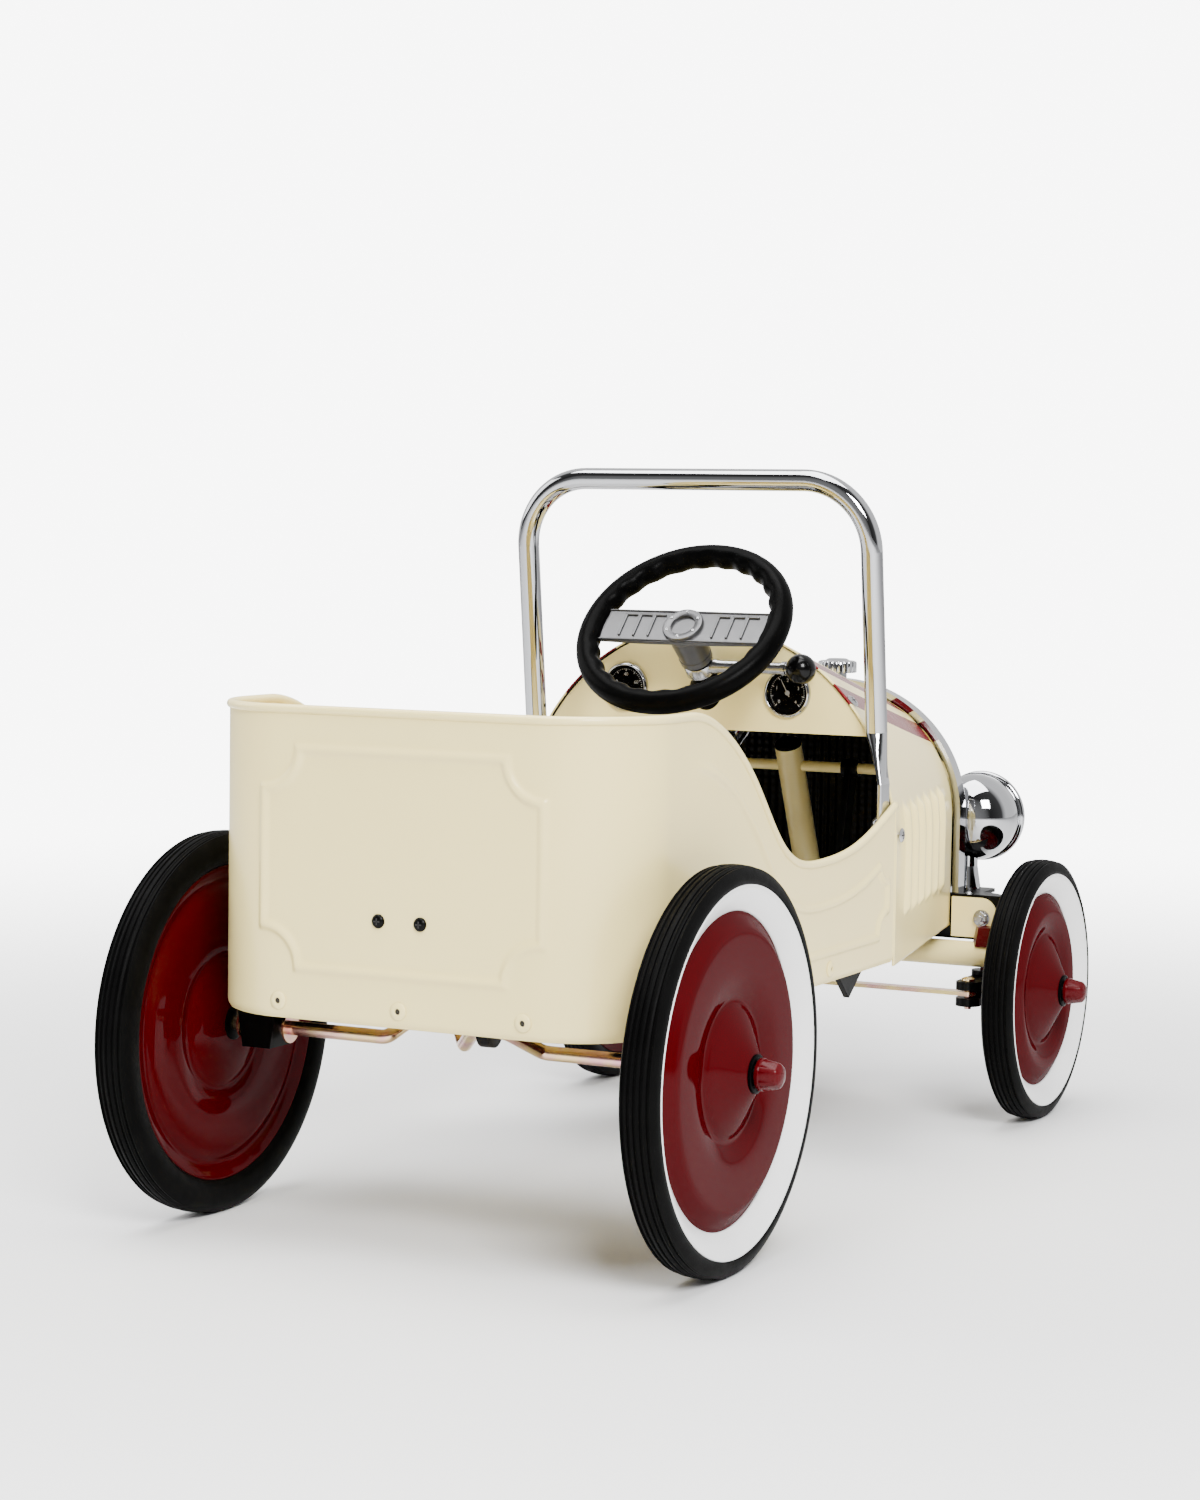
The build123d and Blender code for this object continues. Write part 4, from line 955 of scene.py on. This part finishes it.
def make_screws():
    half = HALF_WIDTH
    back = TUB_REAR
    seat_spots = [((-14, back, 202), (0, 1, 0)), ((14, back, 202), (0, 1, 0)),
                  ((half, 274, 201), (1, 0, 0)), ((-half, 274, 201), (-1, 0, 0))]
    heads = []
    slots = []
    for spot, out in seat_spots:
        heads.append(lathe([
            (-5, 2), (0, 2), (0.02, 4.1), (0.7, 4.2), (1.5, 3.7), (2.2, 2.6), (2.5, 1.2), (2.55, 0.3),
        ], spot, out, 48))
        slots.append(cross_recess(2.62, 2.0, spot, out))
    seat = add_mesh("seat_screw_heads", *joined(heads))
    finish(seat, "chassis", "black_paint", BLACK, replaces=("seat_screws",))
    finish(add_mesh("seat_screw_slot_shade", *joined(slots), smooth=False), "chassis", "black_paint", RECESS_SHADE)

    body_spots = [((x, back, 150), (0, 1, 0)) for x in (-82, 0, 82)]
    body_spots += [((side * half, y, 149), (side, 0, 0)) for side in (-1, 1) for y in (40, 200)]
    buttons = []
    sockets = []
    for spot, out in body_spots:
        buttons.append(lathe([
            (-5, 2), (0, 2), (0.02, 5.4), (0.5, 5.5), (1.1, 4.9), (1.6, 3.6), (1.8, 2.3), (1.7, 1.9),
            (0.4, 1.8),
        ], spot, out, 48))
        # Dark disc at the bottom of each socket: painted shade.
        sockets.append(lathe([(0.6, 2.0), (0.6, 0.3)], spot, out, 24))
    finish(add_mesh("body_screw_heads", *joined(buttons)), "chassis", "cream_paint", CREAM,
           replaces=("body_screws",))
    finish(add_mesh("body_screw_socket_shade", *joined(sockets)), "chassis", "black_paint", RECESS_SHADE)

    plated = []
    dark = []
    for side in (-1, 1):
        bar_y = box_mm("headlight_bar")[1][1]
        bolt = np.array((side * 126, bar_y + 2.5, 144))
        plated.append(lathe([(-6, 2.3), (0, 2.3), (0.02, 6.4), (0.9, 6.4), (1.0, 3)], bolt, (0, 1, 0), 48))
        plated.append(lathe([(0.9, 5.4), (4.2, 5.4), (4.6, 4.9), (4.6, 0.3)], bolt, (0, 1, 0), 48,
                            radius_of=hexagonal(lambda a: 1.0)))
        plated.append(lathe([(4.4, 2.5), (6.2, 2.5), (6.5, 2.2), (6.5, 0.3)], bolt, (0, 1, 0), 32))
        foot = np.array((side * 137.2, -64, 234))
        plated.append(lathe([
            (-6, 2.7), (0, 2.7), (0.02, 6.9), (1.2, 6.9), (2.6, 6.2), (4.2, 4.6), (5, 2.6), (5, 0.3),
        ], foot, (-side, 0, 0), 48))
        for spot, out in (
            ((side * 144.2, -85, 226), (side, 0, 0)),
            ((side * 143.3 * math.cos(math.radians(42)), -85, 215.2 + 150.3 * math.sin(math.radians(42))),
             (side * math.cos(math.radians(42)), 0, math.sin(math.radians(42)))),
        ):
            plated.append(lathe([
                (-4, 1.9), (0.7, 1.9), (0.72, 4.9), (1.2, 5.0), (1.8, 4.2), (2.15, 2.8), (2.2, 0.3),
            ], spot, out, 48))
            dark.append(cross_recess(2.3, 2.6, spot, out))
    bolts = add_mesh("plated_bolts", *joined(plated))
    sharp_by_angle(bolts, 40)
    finish(bolts, "chassis", "chrome", STEEL, replaces=("plated_screws",))
    finish(add_mesh("plated_slot_shade", *joined(dark), smooth=False), "chassis", "black_paint", RECESS_SHADE)


make_screws()


POST_TOP = np.array((0, -227, 273))


def make_post_plug():
    """Black plastic plug in the top of the upright post."""
    foot = box_mm("front_axle_beam")
    centre = (foot[0] + foot[1]) / 2
    base = np.array((0, centre[1], centre[2]))
    up = (POST_TOP - base) / np.linalg.norm(POST_TOP - base)
    plug = add_mesh("post_plug", *lathe([
        (-8, 0.3), (-8, 8.3), (-0.2, 8.3), (0.1, 9.9), (1.6, 10), (3.4, 9.2), (4.8, 6.6), (5.4, 3.2),
        (5.5, 0.3),
    ], POST_TOP, up, 56))
    finish(plug, "chassis", "black_plastic", GRIP)


make_post_plug()

CAD_LOOKS = {
    CREAM: ("seat_pan", "dash_panel", "front_axle_beam", "upright_post", "pedal_pivot_rod", "lug_plates"),
    BLACK: ("chassis_frame", "headlight_bar", "knuckle_left", "knuckle_right", "bearing_blocks",
            "pedal_rod_left", "pedal_rod_right", "pedal_arm_left", "pedal_arm_right"),
    CHROME: ("windshield_frame", "radiator_shell", "radiator_grille", "headlight_stands"),
    GRIP: ("column_boot", "pedal_pad_left", "pedal_pad_right"),
    STEEL: ("steering_column",),
    ZINC: ("rear_crank_axle", "tie_rod"),
    CAP_RED: ("kingpins",),
}
for look, names in CAD_LOOKS.items():
    for name in names:
        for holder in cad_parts[name].material_slots:
            holder.material = look

# ------------------------------------------------------------------ floor, light, camera
# Strength of the plain backdrop that the camera sees, and of the surroundings that light and reflect.
LIGHT = 8.0
SURROUND = 1.4
AIM = Vector((0, 0, 0.2))
# Name, place and size in metres, power in watts.
LAMPS = (
    ("key", (-2.0, 2.4, 2.3), 1.3, 260),
    ("top", (0.3, 0.4, 3.2), 2.6, 230),
    ("side", (3.0, 0.6, 1.6), 1.8, 40),
)
CAMERA_PLACE = (-0.9055, 1.9208, 0.4348)
# Azimuth, elevation and roll in degrees, and the focal length in millimetres.
CAMERA_TURN = (206.297, 4.115, 0.887)
CAMERA_LENS = 75.34


def make_stage():
    bpy.ops.mesh.primitive_circle_add(vertices=96, radius=30, fill_type="NGON", location=(0, 0, 0))
    floor = bpy.context.object
    floor.name = "studio_floor"
    made = bpy.data.materials.new("studio_floor")
    made.use_nodes = True
    nodes = made.node_tree.nodes
    links = made.node_tree.links
    shader = nodes["Principled BSDF"]
    shader.inputs["Base Color"].default_value = (0.80, 0.80, 0.80, 1)
    shader.inputs["Roughness"].default_value = 0.55
    glow = nodes.new("ShaderNodeEmission")
    glow.inputs["Color"].default_value = (1, 1, 1, 1)
    glow.inputs["Strength"].default_value = LIGHT
    place = nodes.new("ShaderNodeTexCoord")
    length = nodes.new("ShaderNodeVectorMath")
    length.operation = "LENGTH"
    span = nodes.new("ShaderNodeMapRange")
    span.interpolation_type = "SMOOTHSTEP"
    span.inputs["From Min"].default_value = 0.45
    span.inputs["From Max"].default_value = 2.4
    path = nodes.new("ShaderNodeLightPath")
    share = nodes.new("ShaderNodeMath")
    share.operation = "MULTIPLY"
    mix = nodes.new("ShaderNodeMixShader")
    links.new(place.outputs["Object"], length.inputs[0])
    links.new(length.outputs["Value"], span.inputs["Value"])
    links.new(span.outputs["Result"], share.inputs[0])
    links.new(path.outputs["Is Camera Ray"], share.inputs[1])
    links.new(share.outputs["Value"], mix.inputs["Fac"])
    links.new(shader.outputs["BSDF"], mix.inputs[1])
    links.new(glow.outputs["Emission"], mix.inputs[2])
    links.new(mix.outputs["Shader"], nodes["Material Output"].inputs["Surface"])
    floor.data.materials.append(made)

    world = bpy.data.worlds.new("studio")
    bpy.context.scene.world = world
    world.use_nodes = True
    nodes = world.node_tree.nodes
    links = world.node_tree.links
    place = nodes.new("ShaderNodeTexCoord")
    split = nodes.new("ShaderNodeSeparateXYZ")
    ramp = nodes.new("ShaderNodeValToRGB")
    links.new(place.outputs["Generated"], split.inputs["Vector"])
    remap = nodes.new("ShaderNodeMapRange")
    remap.inputs["From Min"].default_value = -1
    remap.inputs["From Max"].default_value = 1
    links.new(split.outputs["Y"], remap.inputs["Value"])
    links.new(remap.outputs["Result"], ramp.inputs["Fac"])
    stops = [(0.0, 1.0), (0.42, 1.0), (0.58, 0.08), (0.86, 0.03), (0.93, 0.2), (1.0, 0.3)]
    elements = ramp.color_ramp.elements
    while len(elements) < len(stops):
        elements.new(0.5)
    for element, (position, value) in zip(elements, stops):
        element.position = position
        element.color = (value, value, value, 1)
    links.new(ramp.outputs["Color"], nodes["Background"].inputs["Color"])
    nodes["Background"].inputs["Strength"].default_value = SURROUND
    plain = nodes.new("ShaderNodeBackground")
    plain.inputs["Color"].default_value = (1, 1, 1, 1)
    plain.inputs["Strength"].default_value = LIGHT
    path = nodes.new("ShaderNodeLightPath")
    mix = nodes.new("ShaderNodeMixShader")
    links.new(path.outputs["Is Camera Ray"], mix.inputs["Fac"])
    links.new(nodes["Background"].outputs["Background"], mix.inputs[1])
    links.new(plain.outputs["Background"], mix.inputs[2])
    links.new(mix.outputs["Shader"], nodes["World Output"].inputs["Surface"])

    for name, spot, size, power in LAMPS:
        lamp = bpy.data.lights.new(name, "AREA")
        lamp.energy = power
        lamp.size = size
        holder = bpy.data.objects.new(name, lamp)
        bpy.context.scene.collection.objects.link(holder)
        holder.location = spot
        aim = AIM - Vector(spot)
        holder.rotation_euler = aim.to_track_quat("-Z", "Y").to_euler()

    azimuth, elevation, roll = (math.radians(a) for a in CAMERA_TURN)
    flat = math.cos(elevation)
    back = Vector((math.sin(azimuth) * flat, -math.cos(azimuth) * flat, math.sin(elevation)))
    right = (-back).cross(Vector((0, 0, 1))).normalized()
    up = right.cross(-back)
    level_right = right * math.cos(roll) + up * math.sin(roll)
    level_up = up * math.cos(roll) - right * math.sin(roll)
    turn = Matrix((level_right, level_up, back)).transposed()
    camera = bpy.data.cameras.new("photo_camera")
    camera.lens = CAMERA_LENS
    camera.sensor_width = 36
    holder = bpy.data.objects.new("photo_camera", camera)
    bpy.context.scene.collection.objects.link(holder)
    holder.matrix_world = Matrix.Translation(CAMERA_PLACE) @ turn.to_4x4()
    bpy.context.scene.camera = holder


make_stage()
